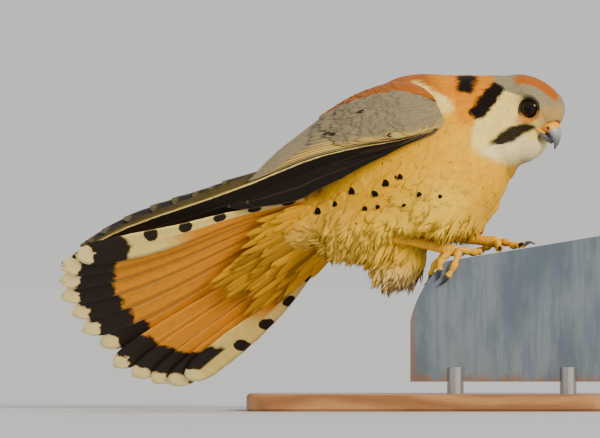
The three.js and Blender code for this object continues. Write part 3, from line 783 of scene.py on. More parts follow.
def mesh_object(
    name: str, points: Array, faces: Array, finish: Finish, smooth: Array | bool = True,
    colour: Array | None = None, traits: Array | None = None, marks: Array | None = None,
    unwrap: Array | None = None,
) -> bpy.types.Object:
    """Makes a mesh object from arrays.

    Args:
        name: the piece's name.
        points: places in millimetres.
        faces: four point numbers a face.
        finish: its finish.
        smooth: whether each face is shaded smooth.
        colour: linear colour of each point.
        traits: three numbers of each point.
        marks: three more numbers of each point.
        unwrap: place of each point on the baking map.

    Returns:
        The linked object.
    """

    def fill(items: object, label: str, data: Array, kind: type = np.float32) -> None:
        """Copies numbers into one of the mesh's own arrays."""
        items.foreach_set(label, np.ravel(data).astype(kind))

    mesh = bpy.data.meshes.new(name)
    mesh.vertices.add(len(points))
    fill(mesh.vertices, "co", points * MM)
    mesh.loops.add(faces.size)
    fill(mesh.loops, "vertex_index", faces, np.int32)
    mesh.polygons.add(len(faces))
    fill(mesh.polygons, "loop_start", np.arange(0, faces.size, faces.shape[1]), np.int32)
    mesh.update(calc_edges=True)
    fill(mesh.polygons, "use_smooth", np.broadcast_to(smooth, len(faces)), bool)
    if colour is not None:
        colour = np.column_stack([colour, np.ones(len(points))])
    for label, kind, data in (("plumage", "color", colour), ("traits", "vector", traits), ("marks", "vector", marks)):
        if data is not None:
            fill(mesh.attributes.new(label, f"FLOAT_{kind.upper()}", "POINT").data, kind, data)
    if unwrap is not None:
        fill(mesh.uv_layers.new(name="OFBake").data, "uv", unwrap[faces.ravel()])
    mesh.materials.append(finish.material())
    made = bpy.data.objects.new(name, mesh)
    bpy.context.scene.collection.objects.link(made)
    return made


def grid_faces(rows: int, columns: int, ends: int = 0, sides: int = 1) -> Array:
    """Returns the faces of a grid, which is joined over its ends or its sides where these are 1."""
    cell = np.arange(rows * columns).reshape(rows, columns)
    cell = np.pad(cell, ((0, ends), (0, sides)), "wrap")
    return np.stack([cell[:-1, :-1], cell[:-1, 1:], cell[1:, 1:], cell[1:, :-1]], -1).reshape(-1, 4)


def tube(rings: Array) -> Pair:
    """Closes rings of points.

    Args:
        rings: points shaped rings x sides x 3, with an even number of sides.

    Returns:
        The points and the faces, which look outward.
    """
    count, sides = rings.shape[:2]
    points = rings.reshape(-1, 3)
    i = np.arange(sides // 2 - 1)
    lid = np.stack([i + 1, i, sides - 1 - i, sides - 2 - i], -1)
    faces = np.vstack([grid_faces(count, sides), lid, lid[:, ::-1] + (count - 1) * sides])
    a, b, c, d = (points[faces[:, k]] - points.mean(0) for k in range(4))
    inside = (np.cross(a, b) * c).sum() + (np.cross(a, c) * d).sum() < 0
    return points, faces[:, ::-1] if inside else faces


def joined(parts: list[tuple]) -> Pair:
    """Joins meshes, each given with its points and faces first, into one."""
    starts = np.cumsum([0] + [len(part[0]) for part in parts])
    faces = [part[1] + start for part, start in zip(parts, starts)]
    return np.vstack([part[0] for part in parts]), np.vstack(faces)


def settle(piece: bpy.types.Object, slot: str, *nodes: str) -> bpy.types.Object:
    """Lets a piece ride on the body and hides the nodes that it stands for."""
    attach(piece, "root")
    if nodes:
        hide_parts(*nodes)
    LOG.info("%s: %d faces", piece.name, len(piece.data.polygons))
    return piece


# Body


@dataclass
class Spine:
    """The line through tail, body and head that the plumage is laid out along.

    Distances run from the tail's root to the bill, and angles from the back round each side.
    """

    body_start: tuple = (-40.1, 0, 82.8)
    pitch: float = 34.4
    body_stops: tuple = (10, 30, 50, 70, 90, 103)
    head_stops: tuple = ((-7, 0, -5), (3, 0, -5.5), (10, 0, -6))
    samples: int = 400

    def __post_init__(self) -> None:
        """Samples the line and its ways up and left."""
        pitch = math.radians(self.pitch)
        self.along = BIRD.way([math.cos(pitch), 0, math.sin(pitch)])
        self.up = BIRD.way([-math.sin(pitch), 0, math.cos(pitch)])
        crown = HEAD.way([0, 0, 1])
        start = BIRD.point(self.body_start)
        stops = [FAN.point(0, 80), FAN.point(0, 58)]
        stops += [start + self.along * s for s in self.body_stops]
        stops += [HEAD.point(s) for s in self.head_stops]
        ups = [FAN.up, FAN.up, *[self.up] * 5, unit(self.up + 0.4 * crown), *[crown] * 3]
        stops, ups = np.array(stops), np.array(ups)
        marks = np.concatenate([[0], np.cumsum(np.linalg.norm(np.diff(stops, axis=0), axis=1))])
        self.distance = np.linspace(0, marks[-1], self.samples)
        self.centres = self._soften(read(self.distance, marks, stops))
        self.ups = unit(self._soften(read(self.distance, marks, ups)))
        self.ways = unit(np.gradient(self.centres, axis=0))
        self.ups = unit(self.ups - self.ways * (self.ups * self.ways).sum(-1, keepdims=True))
        self.lefts = np.cross(self.ups, self.ways)
        self.tree = neighbours(self.centres)

    def _soften(self, data: Array) -> Array:
        """Rounds the line's corners."""
        for _ in range(84):
            data = np.vstack([data[:1], (data[:-2] + 2 * data[1:-1] + data[2:]) / 4, data[-1:]])
        return data

    def nearest(self, points: Array) -> Array:
        """Returns the number of the sample nearest to each point."""
        return np.array([self.tree.find(p)[1] for p in points])

    def wrap(self, points: Array) -> tuple[Array, Array, Array]:
        """Lays points out along the spine.

        Args:
            points: places in millimetres.

        Returns:
            The distance along, the angle from the back in degrees, left positive, and the sample.
        """
        i = self.nearest(points)
        out = points - self.centres[i]
        angle = np.degrees(np.arctan2((out * self.lefts[i]).sum(-1), (out * self.ups[i]).sum(-1)))
        return self.distance[i], angle, i


@dataclass
class Fan:
    """The tail's fan: a plane of its own, swept by feathers that would meet at its centre."""

    centre: tuple = (-19.7, -3, 112.1)
    east: tuple = (-0.966, 0, -0.259)
    south: tuple = (0.186, 0.694, -0.695)
    middle: float = 19.2
    start: float = 42
    radius: float = 169.5
    outer_share: float = 0.925
    spread: float = 21.8
    half_width: float = 8.4
    layer: float = 0.92
    sag: float = 3
    feathers: int = 6

    def __post_init__(self) -> None:
        """Works out the plane."""
        self.down = unit(np.cross(self.east, self.south))
        self.up = -self.down

    def way(self, turn: Array) -> Array:
        """Returns the way from the centre at a turn from the fan's middle, in degrees."""
        angle = np.radians(np.asarray(turn, float) + self.middle)[..., None]
        return np.cos(angle) * np.array(self.east) + np.sin(angle) * np.array(self.south)

    def point(self, turn: Array, distance: Array, sideways: Array = 0.0, below: Array = 0.0) -> Array:
        """Returns a point of the fan.

        Args:
            turn: degrees from the fan's middle.
            distance: millimetres from the centre.
            sideways: millimetres across the feather.
            below: millimetres under the fan's plane.

        Returns:
            The point.
        """
        way = self.way(turn)
        across = np.cross(self.down, way)
        share = np.clip((np.asarray(distance) - self.start) / (self.radius - self.start), 0, 1)
        sag = self.sag * np.sin(np.pi * share)
        return (
            np.array(self.centre)
            + way * np.asarray(distance)[..., None]
            + across * np.asarray(sideways)[..., None]
            + self.down * (np.asarray(below) + sag)[..., None]
        )

    def turn_of(self, place: float) -> float:
        """Returns a feather's turn for its place from -1 to 1."""
        return -self.spread * (1.25 * place - 0.25 * place**3)


FAN = Fan()
SPINE = Spine()


@dataclass
class Markings:
    """The male's colours over head and body, the same on skin and feathers, with painted shade below the chin, under
    the tail's root and on the hanging belly feathers.

    Lines are given as spine distances and angles, or as places in the head's own frame.
    """

    ear_bar: tuple = ((146, 30), (143.8, 41), (141.2, 54), (138.6, 66), (136.2, 75))
    ear_hook: tuple = ((137.2, 76), (135.0, 70))
    nape_spot: tuple = ((137.8, 9), (137.2, 20), (136.2, 33))
    degree: float = 0.31
    moustache: tuple = (
        (6.0, 8.6, -7.0, 1.3), (4.2, 11.0, -9.2, 2.2), (2.2, 14.9, -13.4, 3.1), (2.1, 18.0, -16.4, 3.1),
        (1.6, 21.3, -19.3, 2.4), (0.9, 25.7, -21.8, 1.1),
    )
    flank: tuple = (
        (67.8, 75, 1.0), (76, 88, 0.9), (81.8, 90, 1.0), (87, 90, 0.85), (92, 94, 0.8), (56, 71, 1.0),
        (67, 102, 0.7), (73.5, 103, 0.75), (42, 79, 0.9), (93, 115, 0.6), (100, 125, 0.45), (84, 118, 0.45),
        (59, 106, 0.7),
    )

    def stroke(self, s: Array, angle: Array, line: tuple, width: Array, soft: float = 0.5) -> Array:
        """Masks what lies within a width of a broken line of spine distances and angles."""
        best = np.full(np.shape(s), 1e9)
        for (ax, ay), (bx, by) in zip(line, line[1:]):
            dx, dy = bx - ax, (by - ay) * self.degree
            x, y = s - ax, (angle - ay) * self.degree
            t = np.clip((x * dx + y * dy) / (dx * dx + dy * dy), 0, 1)
            best = np.minimum(best, np.hypot(x - t * dx, y - t * dy))
        return ease(best - width, soft, -soft)

    def _taper(self, local: Array, line: tuple, soft: float = 0.5) -> Array:
        """Masks what lies within a changing width of a line in the head's frame."""
        places = np.stack([local[..., 0], np.abs(local[..., 1]), local[..., 2]], -1)
        mask = np.zeros(len(places))
        for a, b in zip(np.array(line), np.array(line[1:])):
            way = b[:3] - a[:3]
            t = np.clip((places - a[:3]) @ way / (way @ way), 0, 1)
            away = np.linalg.norm((places - a[:3] - t[:, None] * way) * [1, 0.3, 1], axis=1)
            width = lerp(a[3], b[3], t)
            mask = np.maximum(mask, ease(away - width, soft, -soft))
        return mask

    def colours(self, points: Array) -> Array:
        """Returns the linear colour of the plumage at points of the body, painted shade included."""
        s, signed, _ = SPINE.wrap(points)
        angle = np.abs(signed)
        local = HEAD.local(points)
        (f, l, u), (x, _, z) = local.T, points.T
        ripple = 1.5 * np.sin(x * 0.9) * np.cos(z * 0.8)
        collar = ease(angle, 98, 70) * ease(s, 122, 131) * ease(s, 150, 142)
        cheek = ease(s - 140 + (angle - 58) * 0.27, -1.5, 1.5) * ease(angle, 26, 32) * ease(u, -30, -25)
        crown = ease(s, 143.5, 146.5) * ease(angle, 58, 50)
        crown = np.maximum(crown, ease(s, 155, 160) * ease(u, 1.6, 3.6))
        low = lerp(33, 58, ease(s, 150, 160))
        patch = ease(np.hypot((s - 158) / 9.5, (angle + ripple) / 24), 1.15, 0.8)
        lores = ease(np.hypot(f - 10, u - 1.5), 8.4, 3.6)
        below_eye = ease(np.hypot(f - 1, u + 6.6), 4.2, 1.8) * ease(np.abs(l), 6, 9)
        colour = np.broadcast_to(Tone.BUFF.rgb, points.shape)
        for tone, mask in (
            (Tone.PALE, ease(angle, 95, 135) * ease(s, 120, 96)),
            (Tone.CREAM, 0.15 * ease(s, 66, 46) * ease(angle, 40, 90)),
            # painted shade: darker straw under the tail's root
            (Tone.STRAW, 0.5 * ease(s, 44, 14) * ease(angle, 70, 120)),
            # painted shade: grey on the loose belly feathers low down, where they face away from the light
            (Tone.GREY_DOWN, 0.7 * ease(z, 72, 60) * ease(x, -30, -20)),
            (Tone.RUFOUS, ease(angle + ripple, 50, 42) * ease(s, 148, 136)),
            (Tone.NAPE, collar),
            (Tone.CREAM, self.stroke(s, angle, ((119, 34), (125.5, 52)), 3.4, 1.6)),
            (Tone.CREAM, cheek),
            (Tone.WHITE, ease(u, -11, -14) * ease(f, -1, 3) * ease(u, -30, -25)),
            (Tone.CROWN, crown * ease(angle + 0.6 * ripple, low + 3, low - 2)),
            (Tone.RUFOUS, patch * ease(u, 2, 5)),
            (Tone.STRAW, 0.55 * lores),
            (Tone.STRAW, 0.8 * below_eye),
            # painted shade under the chin and throat
            (Tone.UMBER, 0.5 * ease(s, 130, 138) * ease(u, -19, -28) * ease(angle, 90, 130)),
            (Tone.BLACK, self.stroke(s, angle, self.ear_bar, 3.0 + 0.3 * ripple, 0.8)),
            (Tone.BLACK, self.stroke(s, angle, self.ear_hook, 2.0)),
            (Tone.BLACK, self.stroke(s, angle, self.nape_spot, 2.3 + 0.25 * ripple, 0.8)),
            (Tone.BLACK, 0.98 * self._taper(local, self.moustache, 0.85)),
        ):
            colour = paint(colour, tone, mask)
        return colour

    def spotted(self, points: Array) -> Array:
        """Picks the feather for each flank spot and returns every feather's spot size."""
        s, signed, _ = SPINE.wrap(points)
        size = np.zeros(len(points))
        for place, angle, large in self.flank:
            for side in SIDES.values():
                away = np.hypot(s - place, (signed - side * angle) * 0.45)
                if away.min() < 4:
                    size[away.argmin()] = large
        return size


MARKINGS = Markings()


@dataclass
class Skin:
    """The one skin of head, body and thighs, which lies inside their solids by the coat's depth."""

    nodes: tuple = ("head", "neck", "torso", "rump", "thigh_right", "thigh_left")
    voxel: float = 1.05
    rounds: int = 9
    body_depth: float = 1.7
    face_depth: float = 0.5
    mantle: float = 2.8
    tail_core: tuple = (
        (18, 14, 17, 14), (32, 12.5, 15.5, 16), (44, 9.5, 13.5, 18), (56, 6, 11, 19.5), (66, 3, 9, 20),
        (74, 1, 7.4, 17),
    )

    def build(self) -> None:
        """Makes the skin."""
        points, faces = self._remeshed()
        points = self._softened(points, faces, self.rounds)
        s, angle, _ = SPINE.wrap(points)
        depth = lerp(self.body_depth, self.face_depth, ease(s, 132, 158))
        mantle = self.mantle * np.exp(-(((s - 113) / 20) ** 2)) * ease(np.abs(angle), 65, 20)
        points = points + self._normals(points, faces) * (self._relief(points) + mantle - depth)[:, None]
        points = self._softened(points, faces, 2)
        for side in SIDES.values():
            points = EYES.sunk(points, side)
        self.points, self.faces = points, faces
        self.normals = self._normals(points, faces)
        self.tree = BVHTree.FromPolygons([Vector(p) for p in points], faces.tolist())
        colour, unwrap = MARKINGS.colours(points), self.unwrap(points)
        skin = mesh_object("skin", points, faces, Undercoat(), colour=colour, unwrap=unwrap)
        settle(skin, "body_plumage", *self.nodes)

    def _relief(self, points: Array) -> Array:
        """Returns how far brow, lores and cheek stand out from the plain head."""
        f, l, u = np.moveaxis(HEAD.local(points) - [EYES.at[0], 0, EYES.at[1]], -1, 0)
        side = ease(np.abs(l), 3.5, 6.0) * ease(np.abs(l), 16, 13)
        away = np.hypot(f * 0.92, u)
        turn = np.degrees(np.arctan2(u, f))
        brow = np.exp(-(((away - 6.2) / 1.25) ** 2)) * ease(turn, -8, 20) * ease(turn, 165, 125)
        lores = np.exp(-(((f - 7.4) / 2.0) ** 2) - ((u + 1.2) / 1.6) ** 2)
        cheek = np.exp(-(((f + 3) / 5.0) ** 2) - ((u + 8.5) / 3.0) ** 2)
        return side * (1.15 * brow - 0.5 * lores + 0.6 * cheek)

    def _tail_loft(self) -> Pair:
        """Makes the flesh at the root of the tail."""
        turn = np.linspace(0, 2 * np.pi, 24, endpoint=False)[:, None] + 0.1
        way, across = FAN.way(0), np.cross(FAN.down, FAN.way(0))
        rise, rings = np.cos(turn), []
        for distance, above, below, wide in self.tail_core:
            centre = np.array(FAN.centre) + way * distance
            reach = np.where(rise > 0, above, below)
            rings.append(centre + FAN.up * (rise * reach) + across * (np.sin(turn) * wide))
        return tube(np.array(rings))

    def _remeshed(self) -> Pair:
        """Joins the flesh nodes into one closed surface of even squares."""
        parts = []
        for name in self.nodes:
            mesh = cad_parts[name].data
            mesh.calc_loop_triangles()
            parts.append((self._read(mesh.vertices, "co"), self._read(mesh.loop_triangles, "vertices", int)))
        points, faces = joined(parts)
        core, sides = self._tail_loft()
        mesh = bpy.data.meshes.new("flesh")
        places = np.vstack([points, core * MM]).tolist()
        mesh.from_pydata(places, [], faces.tolist() + (sides + len(points)).tolist())
        block = bpy.data.objects.new("flesh", mesh)
        bpy.context.scene.collection.objects.link(block)
        remesh = block.modifiers.new("even", "REMESH")
        remesh.mode = "VOXEL"
        remesh.voxel_size = self.voxel * MM
        made = block.evaluated_get(bpy.context.evaluated_depsgraph_get()).to_mesh()
        faces = np.array([tuple(p.vertices) for p in made.polygons if len(p.vertices) == 4])
        points = self._read(made.vertices, "co") / MM
        bpy.data.objects.remove(block)
        return self._largest(points, faces)

    def _read(self, items: object, label: str, kind: type = float) -> Array:
        """Copies three numbers out of each of a mesh's items."""
        data = np.empty(len(items) * 3, kind)
        items.foreach_get(label, data)
        return data.reshape(-1, 3)

    def _largest(self, points: Array, faces: Array) -> Pair:
        """Keeps the surface's largest connected part."""
        label = np.arange(len(points))
        while True:
            low = label[faces].min(1)
            new = label.copy()
            np.minimum.at(new, faces.ravel(), np.repeat(low, 4))
            new = new[new]
            if (new == label).all():
                break
            label = new
        names, counts = np.unique(label, return_counts=True)
        keep = label == names[counts.argmax()]
        number = np.cumsum(keep) - 1
        return points[keep], number[faces[keep[faces[:, 0]]]]

    def _softened(self, points: Array, faces: Array, rounds: int) -> Array:
        """Evens out the surface by drawing each point towards its neighbours, a number of times."""
        a, b = faces.ravel(), np.roll(faces, -1, axis=1).ravel()
        count = len(points)
        number = np.bincount(a, minlength=count) + np.bincount(b, minlength=count)
        for _ in range(rounds):
            total = np.stack([np.bincount(a, p[b], count) + np.bincount(b, p[a], count) for p in points.T], -1)
            points = lerp(points, total / number[:, None], 0.5)
        return points

    def _normals(self, points: Array, faces: Array) -> Array:
        """Returns the way out at each point."""
        a, b, c, d = (points[faces[:, k]] for k in range(4))
        out = np.cross(c - a, d - b)
        total = np.zeros_like(points)
        for k in range(4):
            for axis in range(3):
                total[:, axis] += np.bincount(faces[:, k], out[:, axis], len(points))
        return unit(total)

    def unwrap(self, points: Array) -> Array:
        """Lays the skin's own shape out flat along the spine and round it."""
        s, angle, _ = SPINE.wrap(points)
        return np.stack([0.5 + angle / 370, 0.02 + 0.96 * s / SPINE.distance[-1]], -1)

    def project(self, points: Array) -> Pair:
        """Drops points onto the skin.

        Args:
            points: places in millimetres, shaped any x 3.

        Returns:
            The places on the skin and the ways out there.
        """
        places, normals = np.empty_like(points), np.empty_like(points)
        for i, p in enumerate(points):
            at, _, face, _ = self.tree.find_nearest(Vector(p))
            places[i] = at
            normals[i] = self.normals[self.faces[face]].mean(0)
        return places, unit(normals)

    def samples(self, count: int, draw: np.random.Generator) -> Pair:
        """Draws random places on the skin, closer together on the head, with their ways out."""
        a, b, c, d = (self.points[self.faces[:, k]] for k in range(4))
        area = np.linalg.norm(np.cross(c - a, d - b), axis=1)
        area = area * np.interp(SPINE.wrap(a)[0], (110, 150, 165), (1, 5, 12))
        face = draw.choice(len(area), count, p=area / area.sum())
        x, y = draw.random((2, count, 1))
        n = [self.normals[self.faces[face, k]] for k in range(4)]
        flat = lambda p, q, r, t: lerp(lerp(p, q, x), lerp(t, r, x), y)
        return flat(a[face], b[face], c[face], d[face]), unit(flat(*n))


# Plumage of head and body


@dataclass(frozen=True)
class Region:
    """One length of the coat along the spine, built as a piece of its own on one grid of vanes."""

    name: str
    low: float
    high: float
    rows: int
    columns: int


@dataclass
class Coat:
    """Small feathers over the skin, in overlapping vanes that follow the lie of the plumage."""

    skin: Skin
    seed: int = 11
    draws: int = 110000
    regions: tuple = (
        Region("coat_rump", -1, 62, 6, 7),
        Region("coat_flank", 62, 84, 6, 7),
        Region("coat_body", 84, 108, 6, 7),
        Region("coat_breast", 108, 130, 6, 7),
        Region("coat_neck", 130, 148, 5, 5),
        Region("coat_head", 148, 166, 4, 5),
        Region("coat_face", 166, 500, 4, 5),
    )
    stops: tuple = (0, 40, 66, 100, 128, 140, 152, 161, 170)
    lengths: tuple = (15, 12.5, 11.5, 11, 9, 6.6, 4.4, 3.0, 1.9)
    spacings: tuple = (2.3, 2.1, 1.9, 1.8, 1.5, 1.25, 0.98, 0.72, 0.55)
    slimness: float = 0.27
    bill_base: tuple = (11.5, 0, -5)
    thickness: float = 0.06
    shown: float = 0.74
    hem: tuple = ((-45, -26, -19, -4, 4, 30), (69, 68, 54, 56, 66, 70))
    hem_above_shank: tuple = ((-45, -24, -17, 0, 11, 30), (69, 68, 84, 81, 79, 79))
    shank_line: tuple = (79.5, -0.194)
    spot_rise: float = 0.3

    def build(self) -> None:
        """Makes the coat's pieces."""
        draw = np.random.default_rng(self.seed)
        roots, ups = self._scattered(draw)
        s, angle, _ = SPINE.wrap(roots)
        thigh = self._thigh(roots)
        soft = np.maximum(thigh, ease(np.abs(angle), 80, 125) * ease(s, 125, 95))
        length = np.interp(s, self.stops, self.lengths) * draw.uniform(0.85, 1.15, len(s))
        length *= lerp(1, 1.15, soft) * lerp(1, 1.25, self._apron(roots))
        x, _, z = roots.T
        above = z > self.shank_line[0] + self.shank_line[1] * x
        ends = np.where(above, np.interp(x, *self.hem_above_shank), np.interp(x, *self.hem))
        length = np.where(thigh > 0.2, np.clip(length, 4, np.maximum(z - ends, 4.5)), length)
        way = self.lie(roots, ups, s)
        seen = roots + way * (length * self.shown)[:, None]
        spots = MARKINGS.spotted(seen)
        for region in self.regions:
            inside = (s >= region.low) & (s < region.high)
            parts = [part[inside] for part in (roots, ups, way, length, soft, seen, spots)]
            self._piece(region, parts, draw)

    def _scattered(self, draw: np.random.Generator) -> Pair:
        """Picks roots that keep their distance from one another and from eyes and bill."""
        points, ups = self.skin.samples(self.draws, draw)
        spacing = np.interp(SPINE.wrap(points)[0], self.stops, self.spacings)
        spacing *= lerp(1, 0.74, self._thigh(points))
        tree = neighbours(points)
        free = ~self._bare(points)
        kept = []
        for i in range(len(points)):
            if free[i]:
                kept.append(i)
                for _, j, _ in tree.find_range(points[i], spacing[i]):
                    free[j] = False
        LOG.info("coat: %d feathers", len(kept))
        return points[kept], ups[kept]

    def _bare(self, points: Array) -> Array:
        """Tells which places carry no feather."""
        bare = np.zeros(len(points), bool)
        for side in SIDES.values():
            bare |= EYES.bare(points, side)
        f, _, u = np.moveaxis(HEAD.local(points), -1, 0)
        cere = np.hypot(f - 9.2, u + 10.2)
        return bare | (f > 8.9) & (cere < 9.3) | (f > 9) & (u < -12) & (u > -14)

    def _thigh(self, points: Array) -> Array:
        """Tells how far places belong to the thighs."""
        best = np.zeros(len(points))
        for side in SIDES.values():
            hip, ankle = LEGS.knee(side), LEGS.ankle(side)
            way = ankle - hip
            t = np.clip((points - hip) @ way / (way @ way), 0, 1)
            away = np.linalg.norm(points - hip - t[:, None] * way, axis=1)
            best = np.maximum(best, ease(away, 30, 22) * ease(t, 0.05, 0.45) * ease(points[:, 2], 102, 92))
        return np.maximum(best, self._apron(points))

    def _apron(self, points: Array) -> Array:
        """Tells how far places belong to the loose feathers of the belly that hang over the legs."""
        x, _, z = np.moveaxis(points, -1, 0)
        return ease(x, -4, 6) * ease(x, 34, 26) * ease(z, 104, 94)

    def lie(self, points: Array, ups: Array, s: Array) -> Array:
        """Returns the way that feathers point at places of the skin."""
        away = unit(points - HEAD.point(self.bill_base))
        back = -SPINE.ways[SPINE.nearest(points)]
        way = lerp(away, back, ease(s, 158, 136)[:, None])
        way = way + [0, 0, -0.25] * ease(s, 60, 100)[:, None] * ease(s, 150, 130)[:, None]
        thigh = self._thigh(points)[:, None]
        down = unit(np.array([-0.3, 0.05, -0.95]))
        way = lerp(unit(way), down, 0.8 * thigh)
        return unit(way - ups * (way * ups).sum(-1, keepdims=True) * (1 - 0.75 * thigh))

    def _piece(self, region: Region, parts: list[Array], draw: np.random.Generator) -> None:
        """Makes one piece of the coat.

        Args:
            region: its name and the grid of its vanes.
            parts: the feathers' roots, ways out, ways they point, lengths in millimetres, how downy
                each is, the middle of what shows of it, and the size of its dark spot.
            draw: the random draw.
        """
        roots, ups, way, length, soft, seen, spots = (part[:, None, None] for part in parts)
        each, columns = length.shape, region.columns
        edges = (len(length), 1, columns)
        loose = self._thigh(parts[0])[:, None, None]
        half = length * self.slimness * draw.uniform(0.86, 1.14, each) * lerp(1, 0.75, soft) * lerp(1, 0.72, loose)
        swing = np.radians(draw.normal(0, lerp(9, 16, soft)))[..., None]
        way = way * np.cos(swing) + np.cross(ups, way) * np.sin(swing)
        side = np.cross(ups, way)
        tilt = np.tan(np.radians((lerp(1.3, 3.6, soft) + 4 * loose) * draw.uniform(0.5, 1.4, each)))
        along = np.linspace(0, 1, region.rows)[:, None] ** 0.9
        across = np.linspace(-1, 1, columns)
        reach = feather_half(along, 0.6, 0.4, 0.35, 0.93)
        fray = draw.uniform(-0.2, 0.12, edges) - 0.07 * (np.arange(columns) % 2)
        fray = fray * ((lerp(0.6, 1.5, soft) + loose) * (spots < 0.05)) - 0.1 * across**2
        a = along * (1 + fray * along**3)
        b = across * reach * half + draw.normal(0, 0.1, edges) * half * along**4
        flat = roots + way * (a * length)[..., None] + side * b[..., None]
        places, normals = (data.reshape(flat.shape) for data in self.skin.project(flat.reshape(-1, 3)))
        rise = length * (a * (1 - 0.2 * a) * tilt - 0.03) + self.spot_rise * (spots > 0)
        camber = 0.08 * half * (1 - across**2) * reach
        hanging = 0.8 * loose * np.maximum(((flat - places) * normals).sum(-1), 0)
        grid = places + normals * (rise + camber + hanging)[..., None]
        thick = np.minimum(self.thickness, 0.02 * length) * (1 - 0.6 * along) * np.ones(columns)
        traits, marks = stacked(across, along, draw.random(each)), stacked(spots, soft, length)
        colour = MARKINGS.colours(lerp(seen, grid, 0.6).reshape(-1, 3)).reshape(grid.shape)
        vanes = Vanes(region.name)
        vanes.add(grid, normals, thick, colour, traits, marks, self.skin.unwrap(parts[0]))
        settle(vanes.build(Plumage()), "body_plumage")


# Flight and tail feathers


def long_vane(
    vanes: Vanes, place: Callable[[Array, Array], Pair], half: Curve,
    length: float, colour: Array, marks: tuple[float, float], root: tuple[float, float], draw: np.random.Generator,
    rows: int, shaft: float,
) -> None:
    """Adds one long feather with its shaft to a set of vanes.

    Args:
        vanes: where it goes.
        place: gives points and the way up from shares of the length and millimetres across.
        half: gives half widths in millimetres from shares of the length.
        length: its length in millimetres.
        colour: its linear ground colour.
        marks: two numbers for its pattern.
        root: its place on the unwrap.
        draw: the random draw.
        rows: steps along it.
        shaft: how thick the shaft is at its root.
    """
    along = np.linspace(0, 1, rows) ** 0.85
    across = np.array([-1, -0.72, -0.4, -0.09, 0, 0.09, 0.4, 0.72, 1])
    ragged = draw.uniform(-0.006, 0.006, len(across))
    a, b = np.meshgrid(along, across, indexing="ij")
    edge = 1 + draw.normal(0, 0.018, a.shape) * (np.abs(b) > 0.9)
    at, up = place(a * (1 + ragged * ease(a, 0.85, 1)), b * half(a) * edge)
    stem = np.interp(np.abs(b), [0, 0.09, 0.1], [1, 0.35, 0]) * shaft * (1 - 0.85 * a)
    thick = lerp(0.34, 0.16, a) * (1 - 0.5 * np.abs(b) ** 3) + stem
    traits, pattern = stacked(b, a, draw.random()), stacked(*marks, (1 - a) * length)
    vanes.add(at[None], up[None], thick[None], colour, traits, pattern, np.array([root]))


@dataclass(frozen=True)
class Tier:
    """One tier of feathers across the upper face of a wing.

    Roots and tips are millimetres along the wing. Tips run from the edge's to the innermost, with a bend
    between them. Reach is a pair of shares of the wing's width, and lifts are the heights of root and blade.
    """

    count: int
    root: float
    tips: tuple[float, float, float]
    reach: tuple[float, float]
    lifts: tuple[float, float]
    risen: float
    pale: float
    rows: int


